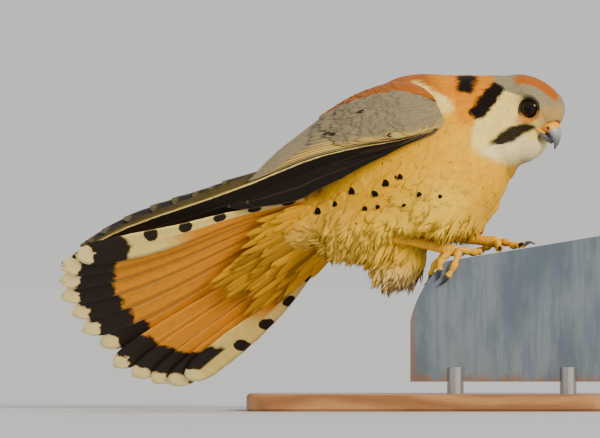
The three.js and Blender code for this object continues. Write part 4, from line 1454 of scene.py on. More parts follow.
@dataclass
class Wing:
    """A folded wing: tiers of coverts and secondaries on its upper face, primaries along its edge."""

    side: str
    edge: tuple = (
        (26.5, -27.5, 139), (24.6, -30.9, 136.1), (7.1, -36.3, 130.3), (-12, -39, 127), (-31.3, -40.2, 122.6),
        (-41.1, -40.1, 119.3), (-65.8, -38.7, 109.4), (-90.9, -35.5, 100.8), (-116.1, -31.7, 92.6),
        (-131.2, -29.6, 87), (-145.9, -29.4, 79.6), (-159.9, -30, 71),
    )
    back: tuple = (
        (19.5, -22.5, 149), (16.9, -22.2, 152.6), (4.2, -20, 155.4), (-15.7, -18.6, 150.4),
        (-34.4, -18.4, 140.6), (-49.7, -20.9, 128.9), (-58.8, -25.2, 121.2), (-67, -33, 113.5),
    )
    span: float = 196
    arm: float = 97
    unwrapped: float = 220
    tips: tuple = (122, 129, 137, 147, 158, 171, 183, 192, 196, 189)
    # how far the underwing feathers hang below the edge; they stand in as painted shade under the wing
    shadow_lining_drops: tuple = ((8, 14, 24, 43, 53, 73, 90, 109), (0.2, 0.4, 1.0, 5.0, 8.6, 12.6, 9.2, 4.9))
    secondaries: Tier = Tier(12, 30, (99, 72, 1.4), (0.02, 0.96), (-1.6, 0.4), 0.3, 0.15, 24)
    coverts: tuple = (
        Tier(11, 20, (66, 58, 1), (0.14, 0.92), (-1.2, 1.6), 0.45, 0.1, 12),
        Tier(11, 12, (48, 42, 1), (0.12, 0.88), (-1.0, 2.5), 0.6, 0.1, 10),
    )
    lift: float = 2.8
    hinge: tuple = (20, 0, 130)
    seed: int = 31

    def __post_init__(self) -> None:
        """Lays out the two edges, and the turn and mirror of this side."""
        self.edge_line = Line(self.edge)
        self.back_line = Line(self.back)
        self.draw = np.random.default_rng(self.seed)
        left = self.side == "left"
        self.mirror = np.array([1, -1 if left else 1, 1])
        self.turn = np.array(Matrix.Rotation(math.radians(self.lift if left else 0), 3, "Y"))

    def to_row(self, points: Array) -> Array:
        """Moves points of the right wing to this wing's place in the row frame."""
        return BIRD.point((points * self.mirror - self.hinge) @ self.turn.T + self.hinge)

    def row_way(self, ways: Array) -> Array:
        """Turns directions of the right wing to this wing's."""
        return BIRD.way((ways * self.mirror) @ self.turn.T)

    def _edge_at(self, mm: Array) -> Pair:
        """Returns points of the leading edge and the ways along it."""
        share = np.clip(mm / self.span, 0, 1)
        return self.edge_line.at(share), self.edge_line.way(share)

    def upper(self, mm: Array, across: Array, lift: Array) -> Pair:
        """Returns points of the upper face and the way out, from the way along and the share across."""
        edge, way = self._edge_at(mm)
        chord = self.back_line.at(np.clip(mm / self.arm, 0, 1)) - edge
        out = -unit(np.cross(way, chord))
        out = np.where(out[..., 1:2] > 0, -out, out)
        reach = np.linalg.norm(chord, axis=-1)
        share = np.clip(across, 0, 1)
        crown = 0.14 * reach * 4 * share * (1 - share) - 1.6 * reach * np.maximum(across - 1, 0) ** 1.2
        return edge + chord * across[..., None] + out * (crown + lift)[..., None], out

    def lower(self, mm: Array, inward: Array, lift: Array) -> Pair:
        """Returns points of the flight feathers' own face and the way up there."""
        edge, way = self._edge_at(mm)
        droop = np.radians(lerp(40, 35, np.clip(mm / 110, 0, 1)))
        chord = stacked(0, np.cos(droop), -np.sin(droop))
        up = unit(np.cross(way, chord))
        up = np.where(up[..., 2:] < 0, -up, up)
        return edge + chord * inward[..., None] + up * np.asarray(lift)[..., None], up

    def _width(self, mm: Array) -> Array:
        """Returns the wing's width in millimetres."""
        chord = self.back_line.at(np.clip(mm / self.arm, 0, 1)) - self.edge_line.at(mm / self.span)
        return np.linalg.norm(chord, axis=-1)

    def build(self) -> None:
        """Makes the wing's pieces."""
        name = f"wing_{self.side}"
        flight = Vanes(f"{name}_flight")
        self._primaries(flight)
        self._shadow_lining(flight)
        self._tier(flight, self.secondaries)
        settle(flight.build(Vane()), "flight_feathers", name)
        coverts = Vanes(f"{name}_coverts")
        for tier in self.coverts:
            self._tier(coverts, tier)
        self._margin(coverts)
        self._lesser(coverts)
        self._scapulars(coverts)
        settle(coverts.build(Coverts()), "flight_feathers")
        settle(self._core(f"{name}_core"), "flight_feathers")

    def _long(
        self, vanes: Vanes, root: float, tip: float, place: Callable, half: Callable, colour: Array,
        pale: float, patch: tuple[float, float], rows: int, shaft: float = 0.2,
    ) -> None:
        """Adds one long feather from root to tip, given in the right wing's terms.

        Args:
            place: gives points and the way up from millimetres along the wing, and shares along and across.
            pale: how pale the feather's outer edge is; the rest is as for long_vane.
        """

        def moved(a: Array, b: Array) -> Pair:
            """Places the feather in the row frame."""
            at, up = place(lerp(root, tip, a), a, b)
            return self.to_row(at), self.row_way(up)

        long_vane(vanes, moved, half, tip - root, colour, (0, pale), patch, self.draw, rows, shaft)

    def _tier(self, vanes: Vanes, tier: Tier) -> None:
        """Adds one tier of feathers across the upper face, each lying over the one below it."""
        spacing = (tier.reach[1] - tier.reach[0]) / tier.count
        for j in range(tier.count):
            share = (j + 0.5) / tier.count
            tip = lerp(*tier.tips[:2], share ** tier.tips[2]) * self.draw.uniform(0.985, 1.015)
            middle = lerp(*tier.reach, share)

            def place(mm: Array, a: Array, b: Array) -> Pair:
                """Places a point of this feather."""
                rise = lerp(*tier.lifts, ease(a, 0, tier.risen)) - 0.28 * b
                rise = rise * lerp(1, 0.3, ease(middle, 0.7, 1.0))
                return self.upper(mm, np.clip(middle + b * spacing * 1.25, -0.04, 1.04), rise)

            width = lambda a: 0.95 * feather_half(a, 0.5, 0.35, 0.66)
            patch = (share, tip / self.unwrapped)
            self._long(vanes, tier.root, tip, place, width, Tone.SLATE.rgb, tier.pale, patch, tier.rows)

    def _primaries(self, vanes: Vanes) -> None:
        """Adds the long feathers along the leading edge, whose outer webs lie stacked along it."""
        width = lambda a: feather_half(a, 0.15, 0.2, 0.8)
        for i, tip in enumerate(self.tips):
            order = len(self.tips) - 1 - i
            outer, inner = order * 0.36 + 0.2, 18.5 + order * 1.2

            def place(mm: Array, a: Array, b: Array) -> Pair:
                """Places a point of this feather."""
                near, far = outer * ease(mm, 0, 40), np.interp(mm, (8, 24, 48, 66), (1.2, 3.5, 12.4, inner))
                inward = near + (far - near) * lerp(1, 0.72, ease(a, 0.5, 1)) * (b + width(a)) / 2
                return self.lower(mm, inward, order * 0.84 - 0.6 - 0.3 * (1 - b * b) * (1 - a))

            # the outermost primaries get the palest outer edge: partly their own edging, partly a painted highlight
            # along the leading edge
            pale, patch = max(0.12, 1 - order * 0.6), (order / 9, 0.9)
            # near-black: partly the primaries' own colour, partly painted shade for their shaded undersides
            self._long(vanes, 8 + order * 2.6, tip, place, width, Tone.DUSK_AND_SHADE.rgb, pale, patch, 34, 0.5)

    def _shadow_lining(self, vanes: Vanes) -> None:
        """Adds the feathers under the wing, which hang between its edge and the flank, near-black as painted shade
        for the shadow there.
        """
        width = lambda a: feather_half(a, 0.1, 0.3, 0.7)
        count = 9
        for j in range(count):

            def place(mm: Array, _: Array, b: Array) -> Pair:
                """Places a point of this feather."""
                top, up = self.lower(mm, lerp(1.5, 7.5, ease(mm, 6, 48)), np.full_like(mm, -0.5 - 0.3 * (j % 2)))
                drop = np.interp(mm, *self.shadow_lining_drops) * (0.5 + 0.5 * b)
                return top + stacked(0, 0.28 * drop, -drop), np.broadcast_to([0, -1.0, 0.2], up.shape)

            share = j / (count - 1)
            root, tip = lerp(4, 62, share), lerp(34, 110, share)
            self._long(vanes, root, tip, place, width, Tone.DUSK_AND_SHADE.rgb, 0, (j / count, 0.4), 14)

    def _margin(self, vanes: Vanes) -> None:
        """Adds the stiff pale-edged coverts along the leading edge, their straw tone and cream edges partly their own
        colour and partly a painted highlight where the edge catches the light.
        """
        width = lambda a: 1.15 * feather_half(a, 0.6, 0.3, 0.6)
        count = 7
        for i in range(count):
            share = i / (count - 1)

            def place(mm: Array, a: Array, b: Array) -> Pair:
                """Places a point of this feather."""
                rise = lerp(-0.6, 1.2, ease(a, 0, 0.3)) - 0.35 * b + 0.12 * i
                return self.upper(mm, (i + 0.3 + b) / self._width(mm), rise)

            # palest and most straw-coloured at the front: partly own colour, partly painted highlight along the
            # leading edge
            root, tip, pale = 3 + i * 1.6, lerp(86, 58, share), lerp(0.95, 0.35, share)
            tone = lerp(Tone.STRAW.rgb, Tone.SLATE.rgb, share)
            self._long(vanes, root, tip, place, width, tone, pale, (0.1, i / 9), 18, 0.15)

    def _small(
        self, vanes: Vanes, mm: float, share: float, length: float, half: float, tone: Array, spot: float, lift: float
    ) -> None:
        """Adds one small covert.

        Args:
            vanes: where it goes.
            mm: its root's place along the wing.
            share: its root's place across the wing.
            length: its length in millimetres.
            half: half its width as a share of the wing's width.
            tone: its linear colour.
            spot: how black its drop is.
            lift: how far it stands off the wing.
        """
        swing = self.draw.normal(0, 0.012)
        a, b = np.meshgrid(np.linspace(0, 1, 6) ** 0.9, np.linspace(-1, 1, 7), indexing="ij")
        along = mm + a * (1 + self.draw.uniform(-0.12, 0.05, 7) * a**3) * length
        across = share + b * half * feather_half(a, 0.6, 0.4, 0.5, 0.9) + swing * a
        at, up = self.upper(along, across, lift - 0.5 + a * 0.55 - 0.12 * b * b)
        traits, marks = stacked(b, a, self.draw.random()), stacked(spot, 0, (1 - a) * length)
        thick, root = 0.12 - 0.07 * a[None], np.array([[share, mm / self.unwrapped]])
        vanes.add(self.to_row(at)[None], self.row_way(up)[None], thick, tone, traits, marks, root)

    def _lesser(self, vanes: Vanes) -> None:
        """Adds the small coverts over the wrist and shoulder."""
        draw = self.draw.uniform
        for number, mm in enumerate(np.arange(0.5, 43, 2.0)):
            width = self._width(mm)
            count = max(4, int(width / 2.1))
            shares = (np.arange(count) + 0.5 * (number % 2) + 0.25) / count
            for share in shares[shares < 0.93]:
                length = lerp(7, 13, mm / 36) * draw(0.85, 1.15)
                spot = 0.95 * (self.draw.random() < 0.045 and mm > 10)
                lift = lerp(0.8, 3.3, ease(mm, 0, 14)) * lerp(1, 0.25, ease(share, 0.7, 1.0))
                lift -= 0.6 * ease(mm, 28, 43)
                # paler along the leading edge: partly own colour, partly painted highlight where the edge catches the
                # light
                tone = lerp(Tone.SLATE.rgb, Tone.PALE.rgb, 0.45 * ease(share, 0.07, 0.0))
                along, across = mm + draw(-0.9, 0.9) * (1 + mm / 20), share + draw(-0.6, 0.6) / width
                self._small(vanes, along, across, length, 1.8 / width, tone, spot, lift)

    def _scapulars(self, vanes: Vanes) -> None:
        """Adds the chestnut shoulder feathers that lie over the wing's back edge."""
        for number, mm in enumerate(np.arange(-3, 42, 2.6)):
            width = self._width(max(mm, 0))
            for share in np.arange(0.80, 1.13, 2.3 / width) + 0.03 * (number % 2):
                length = lerp(10, 15, np.clip(mm / 56, 0, 1)) * self.draw.uniform(0.9, 1.1)
                spot = 0.9 * (self.draw.random() < 0.06)
                lift = lerp(1.6, 3.0, ease(mm, -4, 10)) * lerp(1, 0.6, ease(mm, 22, 42))
                self._small(vanes, mm, share, length, 2.2 / width, Tone.RUFOUS.rgb, spot, lift)

    def _core(self, name: str) -> bpy.types.Object:
        """Makes the flesh of the wing, smooth under its coverts."""
        mm = np.linspace(1, 70, 26)[:, None]
        depth = lerp(11, 2, ease(mm, 8, 70)) * ease(mm, -8, 8)
        top = self.upper(mm, np.linspace(0, 0.97, 9), -0.5)[0]
        low = self.upper(mm, np.linspace(0.97, 0.05, 9), -0.9 - depth)[0]
        arm, hand = tube(self.to_row(np.concatenate([top, low], 1))), self._hand()
        points, faces = joined([arm, hand])
        number = np.arange(len(points))
        # the hand's flesh takes the primaries' near-black, which is partly painted shade
        colour = np.repeat([Tone.SLATE.rgb, Tone.DUSK_AND_SHADE.rgb], [len(arm[0]), len(hand[0])], 0)
        unwrap = stacked(number % 18 / 18, number / len(number))
        return mesh_object(name, points, faces, Coverts(), colour=colour, unwrap=unwrap)

    def _hand(self) -> Pair:
        """Makes the flesh along the leading edge that the primaries grow from."""
        mm, inward = np.array([[10, 20, 31, 44], [0.9, 1.8, 3.4, 5.0]])
        path = Line(self.to_row(self.lower(mm, inward, np.ones(4))[0]))
        return pipe(path, lambda t: lerp(0.3, 2.4, ease(t, 0, 0.6)), 20, 14)


def pipe(path: Line, radius: Curve, steps: int, sides: int) -> Pair:
    """Makes a round bar along a line.

    Args:
        path: the line.
        radius: gives the radius in millimetres from the share of the length.
        steps: rings along it.
        sides: points round it.

    Returns:
        The points and the faces.
    """
    t = np.linspace(0, 1, steps)
    centre, way = path.at(t), path.way(t)
    up = np.array([0.0, 0.0, 1.0])
    if abs(way[0] @ up) > 0.9:
        up = np.array([0.0, 1.0, 0.0])
    ups = [unit(up - way[0] * (way[0] @ up))]
    for w in way[1:]:
        ups.append(unit(ups[-1] - w * (w @ ups[-1])))
    ups = np.array(ups)[:, None]
    turn = np.linspace(0, 2 * np.pi, sides, endpoint=False)[:, None]
    ring = ups * np.cos(turn) + np.cross(way[:, None], ups) * np.sin(turn)
    reach = np.broadcast_to(radius(t), steps)[:, None, None]
    return tube(centre[:, None] + ring * reach)


@dataclass
class Tail:
    """Twelve tail feathers spread in the fan, with the coverts over and under their roots."""

    seed: int = 57
    outline: tuple = (
        (-21, -17.6, -8.8, -6.9, -4.9, -3.1, 4.2, 7.4, 14.5, 19, 23),
        (62, 68, 80, 88, 95, 106, 98, 105, 100, 95, 80),
    )
    under: tuple = ((21, 1.0, 2.8), (20, 0.86, 2.7), (19, 0.72, 2.6))
    covert_root: float = 40

    def build(self) -> None:
        """Makes the tail's pieces."""
        self.draw = np.random.default_rng(self.seed)
        feathers = Vanes("tail_feathers")
        for order in range(1, FAN.feathers + 1):
            for side in (1, -1):
                self._rectrix(feathers, side, order)
        settle(feathers.build(TailVane()), "flight_feathers", "tail")
        coverts = Vanes("tail_coverts")
        for count, share, half in self.under:
            self._coverts(coverts, count, True, share, half)
        self._coverts(coverts, 9, False, 0.8, 5.6)
        settle(coverts.build(Plumage()), "body_plumage")

    def _rectrix(self, vanes: Vanes, side: int, order: int) -> None:
        """Adds one tail feather, counted outward on its side."""
        share = (order - 0.5) / 5.5
        tip = FAN.radius * lerp(1, FAN.outer_share - 0.02 * (side < 0), share**3) * self.draw.uniform(0.975, 1.005)
        layer = order - (order == 1 and side < 0)
        turn = FAN.turn_of(side * share)

        def place(a: Array, b: Array) -> Pair:
            """Places a point of this feather."""
            bow = 2.6 * np.exp(-(((a - 0.3) / 0.2) ** 2)) if side > 0 else 7.8 * ease(a, 0.3, 1.0)
            below = (layer - 2.5) * FAN.layer + 0.008 * b * b
            at = FAN.point(turn, lerp(FAN.start, tip, a), b - share**2 * bow, below)
            return at, np.broadcast_to(FAN.up, at.shape)

        width = lambda a: FAN.half_width * feather_half(a, 0.22, 0.8, 0.9) * (1 - 0.12 * ease(a, 0.8, 1))
        marks, root = (order / FAN.feathers, side), (0.5 + side * share * 0.3, 0.06)
        long_vane(vanes, place, width, tip - FAN.start, Tone.TAIL.rgb, marks, root, self.draw, 40, 0.4)

    def _coverts(self, vanes: Vanes, count: int, lower: bool, share: float, half: float) -> None:
        """Adds a tier of coverts on one face of the fan.

        Args:
            vanes: where they go.
            count: how many.
            lower: whether they lie on the lower face.
            share: how far they reach, as a share of the longest.
            half: half their width in millimetres.
        """
        face = 1 if lower else -1
        for i in range(count):
            where = 2 * (i + 0.5) / count - 1
            turn = FAN.spread * 0.98 * where + self.draw.uniform(-1.5, 1.5)
            tip = float(np.interp(turn, *self.outline)) * share * self.draw.uniform(0.93, 1.05)
            tip = tip if lower else lerp(92, 76, where**2)
            swing, high = self.draw.uniform(-3, 3), self.draw.uniform(0, 0.8)
            depth = lerp(4.9, 7.5, (1 - share) / 0.28) if lower else 4.1

            def place(a: Array, b: Array) -> Pair:
                """Places a point of this feather."""
                rise = lerp(8.5 if lower else 5, depth + high, ease(a, 0, 0.7)) - 0.06 * b * b
                at = FAN.point(turn, lerp(self.covert_root, tip, a), b + swing * a * a, face * rise)
                return at, np.broadcast_to(FAN.up, at.shape)

            width = lambda a: half * feather_half(a, 0.7, 0.3, 0.3, 0.995)
            tone = Tone.RUFOUS.rgb
            if lower:
                # random umber over most lower coverts is painted shade among them
                tone = lerp(Tone.BUFF.rgb, Tone.UMBER.rgb, self.draw.uniform(0.0, 0.9) ** 1.3 * ease(turn, -20, -2))
            root = (0.5 + where * 0.25, 0.05)
            long_vane(vanes, place, width, tip - self.covert_root, tone, (0, 1), root, self.draw, 16, 0.15)


# Face


@dataclass
class Eyes:
    """Dark eyes with a clear bulge, set in a ring of bare skin."""

    radius: float = 5.0
    reach: float = 12
    opening: float = 4.4
    at: tuple = (-1.2, -1.1)
    ring_out: float = 2.4

    def centre(self, side: int) -> Array:
        """Returns the middle of an eyeball."""
        return HEAD.point([self.at[0], side * (self.reach - self.radius), self.at[1]])

    def look(self, side: int) -> Array:
        """Returns the way an eye looks."""
        return unit(HEAD.way([0.16, side, 0.02]))

    def _ways(self, side: int) -> Pair:
        """Returns the ways ahead and up across an eye."""
        look = self.look(side)
        ahead = HEAD.way([1, 0, -0.25])
        ahead = unit(ahead - look * (ahead @ look))
        return ahead, np.cross(ahead, look) * side

    def _around(self, side: int, turn: Array) -> Array:
        """Returns the ways out from an eye's middle at turns round it."""
        ahead, up = self._ways(side)
        return np.cos(turn)[:, None] * ahead + np.sin(turn)[:, None] * up

    def crescent(self, turn: Array) -> Array:
        """Returns how far the bare skin spreads at a turn round the eye, from 0 to 1 ahead of it and below."""
        return (0.5 + 0.5 * np.cos(turn + 0.5)) ** 1.6

    def bare(self, points: Array, side: int) -> Array:
        """Tells which places lie on an eye or on the skin round it."""
        out = points - self.centre(side)
        ahead, up = self._ways(side)
        x, y = out @ ahead, out @ up
        reach = self.opening + 0.3 + 2.0 * self.crescent(np.arctan2(y, x))
        return (out @ self.look(side) > 0) & (np.hypot(x, y) < reach)

    def sunk(self, points: Array, side: int) -> Array:
        """Presses the socket of one eye into the head."""
        out, look = points - self.centre(side), self.look(side)
        high = out @ look
        away = np.linalg.norm(out - high[:, None] * look, axis=1)
        free = np.minimum(high, lerp(self.ring_out - 0.5, high, ease(away - self.opening, 0.2, 3.0)))
        return np.where((high > 0)[:, None], points + (free - high)[:, None] * look, points)

    def build(self, skin: Skin) -> None:
        """Makes both eyes and their rings on the head's skin."""
        for name, side in SIDES.items():
            settle(self._ball(name, side), "eye", f"eye_{name}")
            settle(self._ring(name, side, skin), "leg_skin")

    def _ball(self, name: str, side: int) -> bpy.types.Object:
        """Makes one eyeball."""
        steps, sides = 40, 48
        theta = np.linspace(0.02, math.pi - 0.02, steps)
        phi = np.linspace(0, 2 * math.pi, sides, endpoint=False)
        reach = (self.radius + 0.12 * np.exp(-((theta / 0.75) ** 2)) - 0.12)[:, None, None]
        lean = theta[:, None, None]
        out = np.cos(lean) * self.look(side) + np.sin(lean) * self._around(side, phi)
        points, faces = tube(self.centre(side) + reach * out)
        traits = numbers(points, np.repeat(theta, sides))
        return mesh_object(f"eyeball_{name}", points, faces, EyeGloss(), traits=traits)

    def _ring(self, name: str, side: int, skin: Skin) -> bpy.types.Object:
        """Makes the lids, dark over the top as painted shade under the brow, and the crescent of bare skin below one
        eye.
        """
        look = self.look(side)
        steps, sides = 72, 18
        turn = np.linspace(0, 2 * math.pi, steps, endpoint=False)
        profile = np.linspace(0, 2 * math.pi, sides, endpoint=False)
        low = self.crescent(turn)
        wide = 0.42 + 0.9 * low
        pucker = 1 + 0.06 * np.sin(turn * 19) * low
        reach = self.opening * (1 + 0.03 * np.cos(2 * turn)) + wide - 0.15
        out = np.cos(profile)[None, :] * (wide * pucker)[:, None]
        away = reach[:, None] + out
        flat = self.centre(side) + self._around(side, turn)[:, None] * away[..., None]
        level = np.empty(away.shape)
        for i, j in np.ndindex(*away.shape):
            hit = skin.tree.ray_cast(Vector(flat[i, j] + look * 20), Vector(-look))[0]
            level[i, j] = (np.array(hit) - self.centre(side)) @ look
        level = lerp(self.ring_out, np.maximum(self.ring_out, level + 0.3), ease(away - self.opening, -0.1, 0.5))
        rings = flat + look * (level + 0.42 * np.sin(profile)[None])[..., None]
        points, faces = rings.reshape(-1, 3), grid_faces(steps, sides, ends=1)
        middle = self.centre(side) + look * self.ring_out
        a, b, c, d = (points[faces[:, k]] for k in range(4))
        inside = middle + unit((a + c) / 2 - middle) * self.opening
        if (np.cross(c - a, d - b) * ((a + c) / 2 - inside)).sum() < 0:
            faces = faces[:, ::-1]
        traits = numbers(points, np.tile(np.cos(profile), steps), np.repeat(low, sides))
        return mesh_object(f"lids_{name}", points, faces, Lids(), traits=traits)


EYES = Eyes()


@dataclass
class Bill:
    """A short hooked bill with its cere."""

    centre: tuple = (8.9, -9.9)
    radius: float = 9.3
    start: float = 112
    end: float = -6
    base: float = 5.3
    lower: tuple = (
        (3, -8.2, 2.5, 5), (7, -8.4, 2.6, 4.2), (10.4, -8.7, 2.3, 3.3), (12.9, -8.9, 1.8, 2.3),
        (14.8, -9.2, 1.0, 1.4),
    )

    def _upper(self, start: float, stop: float, grow: float, steps: int, sides: int) -> Pair:
        """Makes rings of the upper bill between two shares of its curve."""
        share = np.linspace(start, stop, steps)
        turn = np.radians(lerp(self.start, self.end, share))
        deep = lerp(8.0, 0.5, share**1.35) / 2 + grow
        wide = self.base * np.maximum(1 - share, 0) ** 0.75 + 0.25 + grow
        out = np.stack([np.cos(turn), 0 * turn, np.sin(turn)], -1)
        reach = self.radius + grow - deep
        at = np.array([self.centre[0], 0, self.centre[1]]) + out * reach[:, None]
        angle = np.linspace(0, 2 * math.pi, sides, endpoint=False) + math.pi / sides
        shaped = lambda v: np.sign(v) * np.abs(v) ** (2 / 2.1)
        rise, side = shaped(np.cos(angle)), shaped(np.sin(angle))
        tooth = 0.5 * np.exp(-(((share - 0.74) / 0.05) ** 2))[:, None] * (rise < -0.2) * (np.abs(side) > 0.3)
        rings = (
            at[:, None]
            + out[:, None] * (rise[None, :, None] * deep[:, None, None] - tooth[..., None])
            + np.array([0, 1, 0]) * (side[None, :, None] * wide[:, None, None])
        )
        return tube(HEAD.point(rings))

    def build(self) -> None:
        """Makes the bill's pieces."""
        steps, sides = 34, 28
        points, faces = self._upper(0.0, 1.0, 0.0, steps, sides)
        traits = numbers(points, np.repeat(np.linspace(0, 1, steps), sides))
        settle(mesh_object("upper_bill", points, faces, Horn(), traits=traits), "bill", "bill_upper")
        settle(self._cere(), "leg_skin")
        settle(self._lower(), "bill", "bill_lower")
        settle(self._gape(), "leg_skin")

    def _cere(self) -> bpy.types.Object:
        """Makes the cere, with a nostril on each side."""
        points, faces = self._upper(0.0, 0.42, 0.3, 44, 64)
        local = HEAD.local(points)
        away = np.hypot(local[:, 0] - 11.0, local[:, 2] + 3.7)
        rim = 0.3 * np.exp(-(((away - 1.3) / 0.45) ** 2)) - 0.22 * ease(away, 1.0, 0.5)
        local[:, 1] += np.sign(local[:, 1]) * rim
        # mask for the painted shade in each nostril
        nostril_shade = ease(away, 1.1, 0.6) * (np.abs(local[:, 1]) > 1)
        return mesh_object("cere", HEAD.point(local), faces, Wax(), traits=numbers(points, nostril_shade))

    def _gape(self) -> bpy.types.Object:
        """Makes the soft orange corners of the mouth, from the cere back below the eyes."""
        stops = np.array([(11.2, 4.3, -6.6), (9.4, 5.2, -6.9), (7.4, 6.3, -7.3), (5.6, 7.5, -7.9)])
        radius = lambda t: 0.78 * np.sin(math.pi * np.clip(0.12 + 0.83 * t, 0, 1)) ** 0.6
        sides = [pipe(Line(HEAD.point(stops * [1, side, 1])), radius, 30, 14) for side in SIDES.values()]
        return mesh_object("gape", *joined(sides), Wax())

    def _lower(self) -> bpy.types.Object:
        """Makes the lower mandible."""
        steps, sides = 20, 24
        at = np.linspace(0, len(self.lower) - 1, steps)
        f, u, tall, wide = read(at, np.arange(len(self.lower)), self.lower).T[..., None]
        angle = np.linspace(0, 2 * math.pi, sides, endpoint=False)
        rings = stacked(f, wide * np.sin(angle), u + tall * np.minimum(np.cos(angle), 0.45))
        points, faces = tube(HEAD.point(rings))
        traits = numbers(points, np.repeat(np.linspace(0.45, 1, steps), sides))
        return mesh_object("lower_bill", points, faces, Horn(), traits=traits)


# Legs


@dataclass
class Legs:
    """Scaled shanks and toes, and curved claws.

    The feet, right then left, are given by a joint and four toes, in places over the panel's top edge.
    """

    stride: float = 14
    thick: float = 2.35
    ankle_at: tuple = (-6.4, 17, 85)
    knee_at: tuple = (19, 16.6, 95.5)
    toe_thick: float = 1.75
    toe_end: float = 1.35
    top_at_origin: float = 70.3
    slope: float = 0.165
    feet: tuple = (
        (
            (11, -17.5, 4.6),
            ((16, -16, 4), (21, -9, 2.1), (24, -2, 1.9)),
            ((13.2, -21.6, 3.4), (11.8, -24.1, -1.6), (10, -24, -5), (8.2, -23.9, -7.4)),
            ((6.8, -20.8, 2.6), (4.6, -24.1, -0.6), (4.4, -24, -3.6)),
            ((5.2, -15.6, 2), (1.6, -15.6, -1.6), (0.2, -16.4, -5.4)),
        ),
        (
            (31.6, 5.5, 5.4),
            ((32.5, -0.5, 4.6), (33, -6.5, 2.1), (33.4, -12, 1.9)),
            ((36, 2.6, 4.6), (40, -2.4, 2.3), (43, -7.4, 1.9)),
            ((36.6, 8, 4.2), (41.4, 9.4, 2.1), (45.6, 9.8, 1.9)),
            ((27, 7.4, 3.6), (23, 9.4, 2.1), (19.5, 11.4, 1.9)),
        ),
    )

    def _place(self, side: int, local: tuple) -> Array:
        """Returns a leg's local point in the row frame."""
        f, l, u = local
        return BIRD.point([f + (self.stride if side > 0 else 0), side * l, u])

    def ankle(self, side: int) -> Array:
        """Returns where a shank starts."""
        return self._place(side, self.ankle_at)

    def knee(self, side: int) -> Array:
        """Returns the middle of a thigh's upper end."""
        return self._place(side, self.knee_at)

    def over(self, x: float, y: float, height: float) -> Array:
        """Returns a point above the panel's top edge."""
        return np.array([x, y, self.top_at_origin + self.slope * x + height])

    def build(self) -> None:
        """Makes shanks, feet and claws."""
        for (name, side), (grip, *toes) in zip(SIDES.items(), self.feet):
            joint = self.over(*grip)
            self._shank(name, side, joint)
            self._foot(name, joint, toes)

    def _scaled(self, name: str, bars: list[tuple]) -> bpy.types.Object:
        """Joins bars into one scaled piece."""
        traits = np.vstack([bar[2] for bar in bars])
        return mesh_object(name, *joined(bars), Scales(), traits=traits)

    def _bar(self, path: Line, radius: Callable, steps: int, sides: int, pitch: float) -> tuple:
        """Makes a bar with scutes, and its turns and lengths for the finish."""
        scute = lambda t: radius(t) * (1 + 0.045 * np.abs(np.sin(np.pi * t * path.length / pitch)))
        points, faces = pipe(path, scute, steps, sides)
        turns = np.tile(np.linspace(0, 1, sides, endpoint=False), steps)
        rings = np.repeat(np.linspace(0, 1, steps) * path.length / pitch, sides)
        return points, faces, numbers(points, turns, rings)

    def _shank(self, name: str, side: int, joint: Array) -> None:
        """Makes one shank."""
        ankle = self.ankle(side)
        path = Line([ankle, lerp(ankle, joint, 0.5), joint])
        radius = lambda t: self.thick * (1 + 0.2 * (2 * t - 1) ** 4 + 0.38 * np.exp(-(((t - 0.24) / 0.1) ** 2)))
        piece = self._scaled(f"shank_{name}", [self._bar(path, radius, 90, 24, 1.7)])
        settle(piece, "leg_skin", f"tarsus_{name}")

    def _foot(self, name: str, joint: Array, toes: list[tuple]) -> None:
        """Makes one foot and its claws."""
        thick = lambda t: lerp(self.toe_thick, self.toe_end, t) + 0.28 * np.cos(t * 6 * math.pi)
        radius = lambda t: thick(t) - 0.5 * ease(t, 0.97, 1)
        bars = []
        for number, toe in enumerate(toes, 1):
            stops = np.array([joint, *[self.over(*stop) for stop in toe]])
            bars.append(self._bar(Line(stops), radius, 60, 18, 1.3))
            self._claw(name, number, stops)
        knuckle = Line([joint + [0, 0, 2.6], joint, joint - [0, 0, 2.6]])
        ball = lambda t: 0.1 + 2.9 * np.sqrt(np.clip(1 - (2 * t - 1) ** 2, 0, 1))
        bars.append(self._bar(knuckle, ball, 24, 24, 1.5))
        settle(self._scaled(f"toes_{name}", bars), "leg_skin", f"foot_{name}")

    def _claw(self, name: str, number: int, stops: Array) -> None:
        """Makes one claw, which curls down from the end of its toe."""
        end = stops[-1]
        way = unit(end - stops[-2])
        on_top = abs(way[2]) < 0.6
        bend = np.array([0, 0, -0.22] if on_top else [-0.5, 0, 0])
        rise = np.array([0, 0, 0.7 * on_top])
        path = Line([end - way * 0.6, end + way * 2.8 + rise, end + way * 5.2 + bend * 3])
        steps, sides = 26, 18
        points, faces = pipe(path, lambda t: lerp(1.15, 0.16, t**1.2), steps, sides)
        traits = numbers(points, np.repeat(np.linspace(0, 1, steps), sides))
        piece = mesh_object(f"talon_{name}_{number}", points, faces, Talon(), traits=traits)
        settle(piece, "claw", f"claw_{name}_{number}")


LEGS = Legs()


# Stand and studio


@dataclass
class Stand:
    """The sheet that the bird grips, its rods and the wooden base, kept from the CAD model."""

    bevels: tuple = (
        ("perch_panel", 0.5, Weathered()),
        ("stand_base", 0.35, Timber()),
        ("stand_rod_1", 0.2, Steel()),
        ("stand_rod_2", 0.2, Steel()),
    )

    def build(self) -> None:
        """Dresses the nodes, whose meshes stay as they are."""
        for name, width, finish in self.bevels:
            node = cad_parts[name]
            node.data.materials.clear()
            node.data.materials.append(finish.material())
            bevel = node.modifiers.new("worn_edge", "BEVEL")
            bevel.width = width * MM
            bevel.segments = 2
            bevel.limit_method = "ANGLE"
            bevel.angle_limit = math.radians(35)
            bevel.harden_normals = True
            for polygon in node.data.polygons:
                polygon.use_smooth = name.startswith("stand_rod")
            LOG.info("%s: dressed", name)


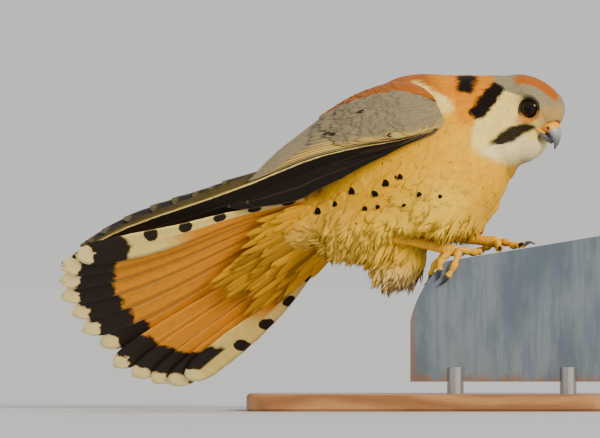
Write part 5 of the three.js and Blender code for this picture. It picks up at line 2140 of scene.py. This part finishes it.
@dataclass
class Studio:
    """Camera, soft lights, pale surroundings and the floor.

    Each light has a name, the way that it comes from, its power, its spread in degrees and its colour.
    """

    aim: tuple = (-62.4, 91.9)
    distance: float = 8.0
    lens: float = 1000
    sensor: float = 36
    floor_radius: float = 14.0
    suns: tuple = (
        ("key", (1.3, -1.6, 1.0), 3.7, 24, (1.0, 0.85, 0.56)),
        ("fill", (-1.6, -1.5, 0.5), 0.35, 60, (1.0, 0.95, 0.88)),
        ("rim", (0.3, 1.5, 1.5), 0.6, 40, (1.0, 0.95, 0.85)),
    )
    pale: tuple = (0.90, 0.895, 0.88, 1)
    pale_strength: float = 0.8

    def camera(self) -> None:
        """Sets the camera level at the photograph's angle, from afar."""
        data = bpy.data.cameras.new("camera")
        data.lens = self.lens
        data.sensor_width = self.sensor
        data.clip_end = 100
        camera = bpy.data.objects.new("camera", data)
        camera.location = (self.aim[0] * MM, -self.distance, self.aim[1] * MM)
        camera.rotation_euler = (math.pi / 2, 0, 0)
        bpy.context.scene.collection.objects.link(camera)
        bpy.context.scene.camera = camera

    def lights(self) -> None:
        """Sets the broad even lights and the world."""
        for name, way, power, spread, colour in self.suns:
            data = bpy.data.lights.new(name, "SUN")
            data.energy, data.angle, data.color = power, math.radians(spread), colour
            light = bpy.data.objects.new(name, data)
            light.location = way
            light.rotation_euler = Vector(way).to_track_quat("Z", "Y").to_euler()
            bpy.context.scene.collection.objects.link(light)
        world = bpy.data.worlds.new("pale")
        world.use_nodes = True
        background = world.node_tree.nodes["Background"]
        background.inputs[0].default_value = self.pale
        background.inputs[1].default_value = self.pale_strength
        bpy.context.scene.world = world

    def floor(self) -> None:
        """Lays the floor."""
        turn = np.linspace(0, 2 * np.pi, 64, endpoint=False)
        ring = np.stack([np.cos(turn), np.sin(turn), 0 * turn], -1) * self.floor_radius / MM
        points, faces = tube(np.stack([ring, ring - [0, 0, 20]]))
        points[:, 2] += CAD_BOX[0][2] / MM
        mesh_object("floor", points, faces, Ground(), smooth=False)


def main() -> None:
    """Builds the scene in order."""
    logging.basicConfig(level=logging.INFO, format="%(name)s: %(message)s")
    studio = Studio()
    studio.camera()
    skin = Skin()
    skin.build()
    Coat(skin).build()
    for side in SIDES:
        Wing(side).build()
    Tail().build()
    EYES.build(skin)
    Bill().build()
    LEGS.build()
    Stand().build()
    studio.lights()
    studio.floor()


if __name__ == "__main__":
    main()
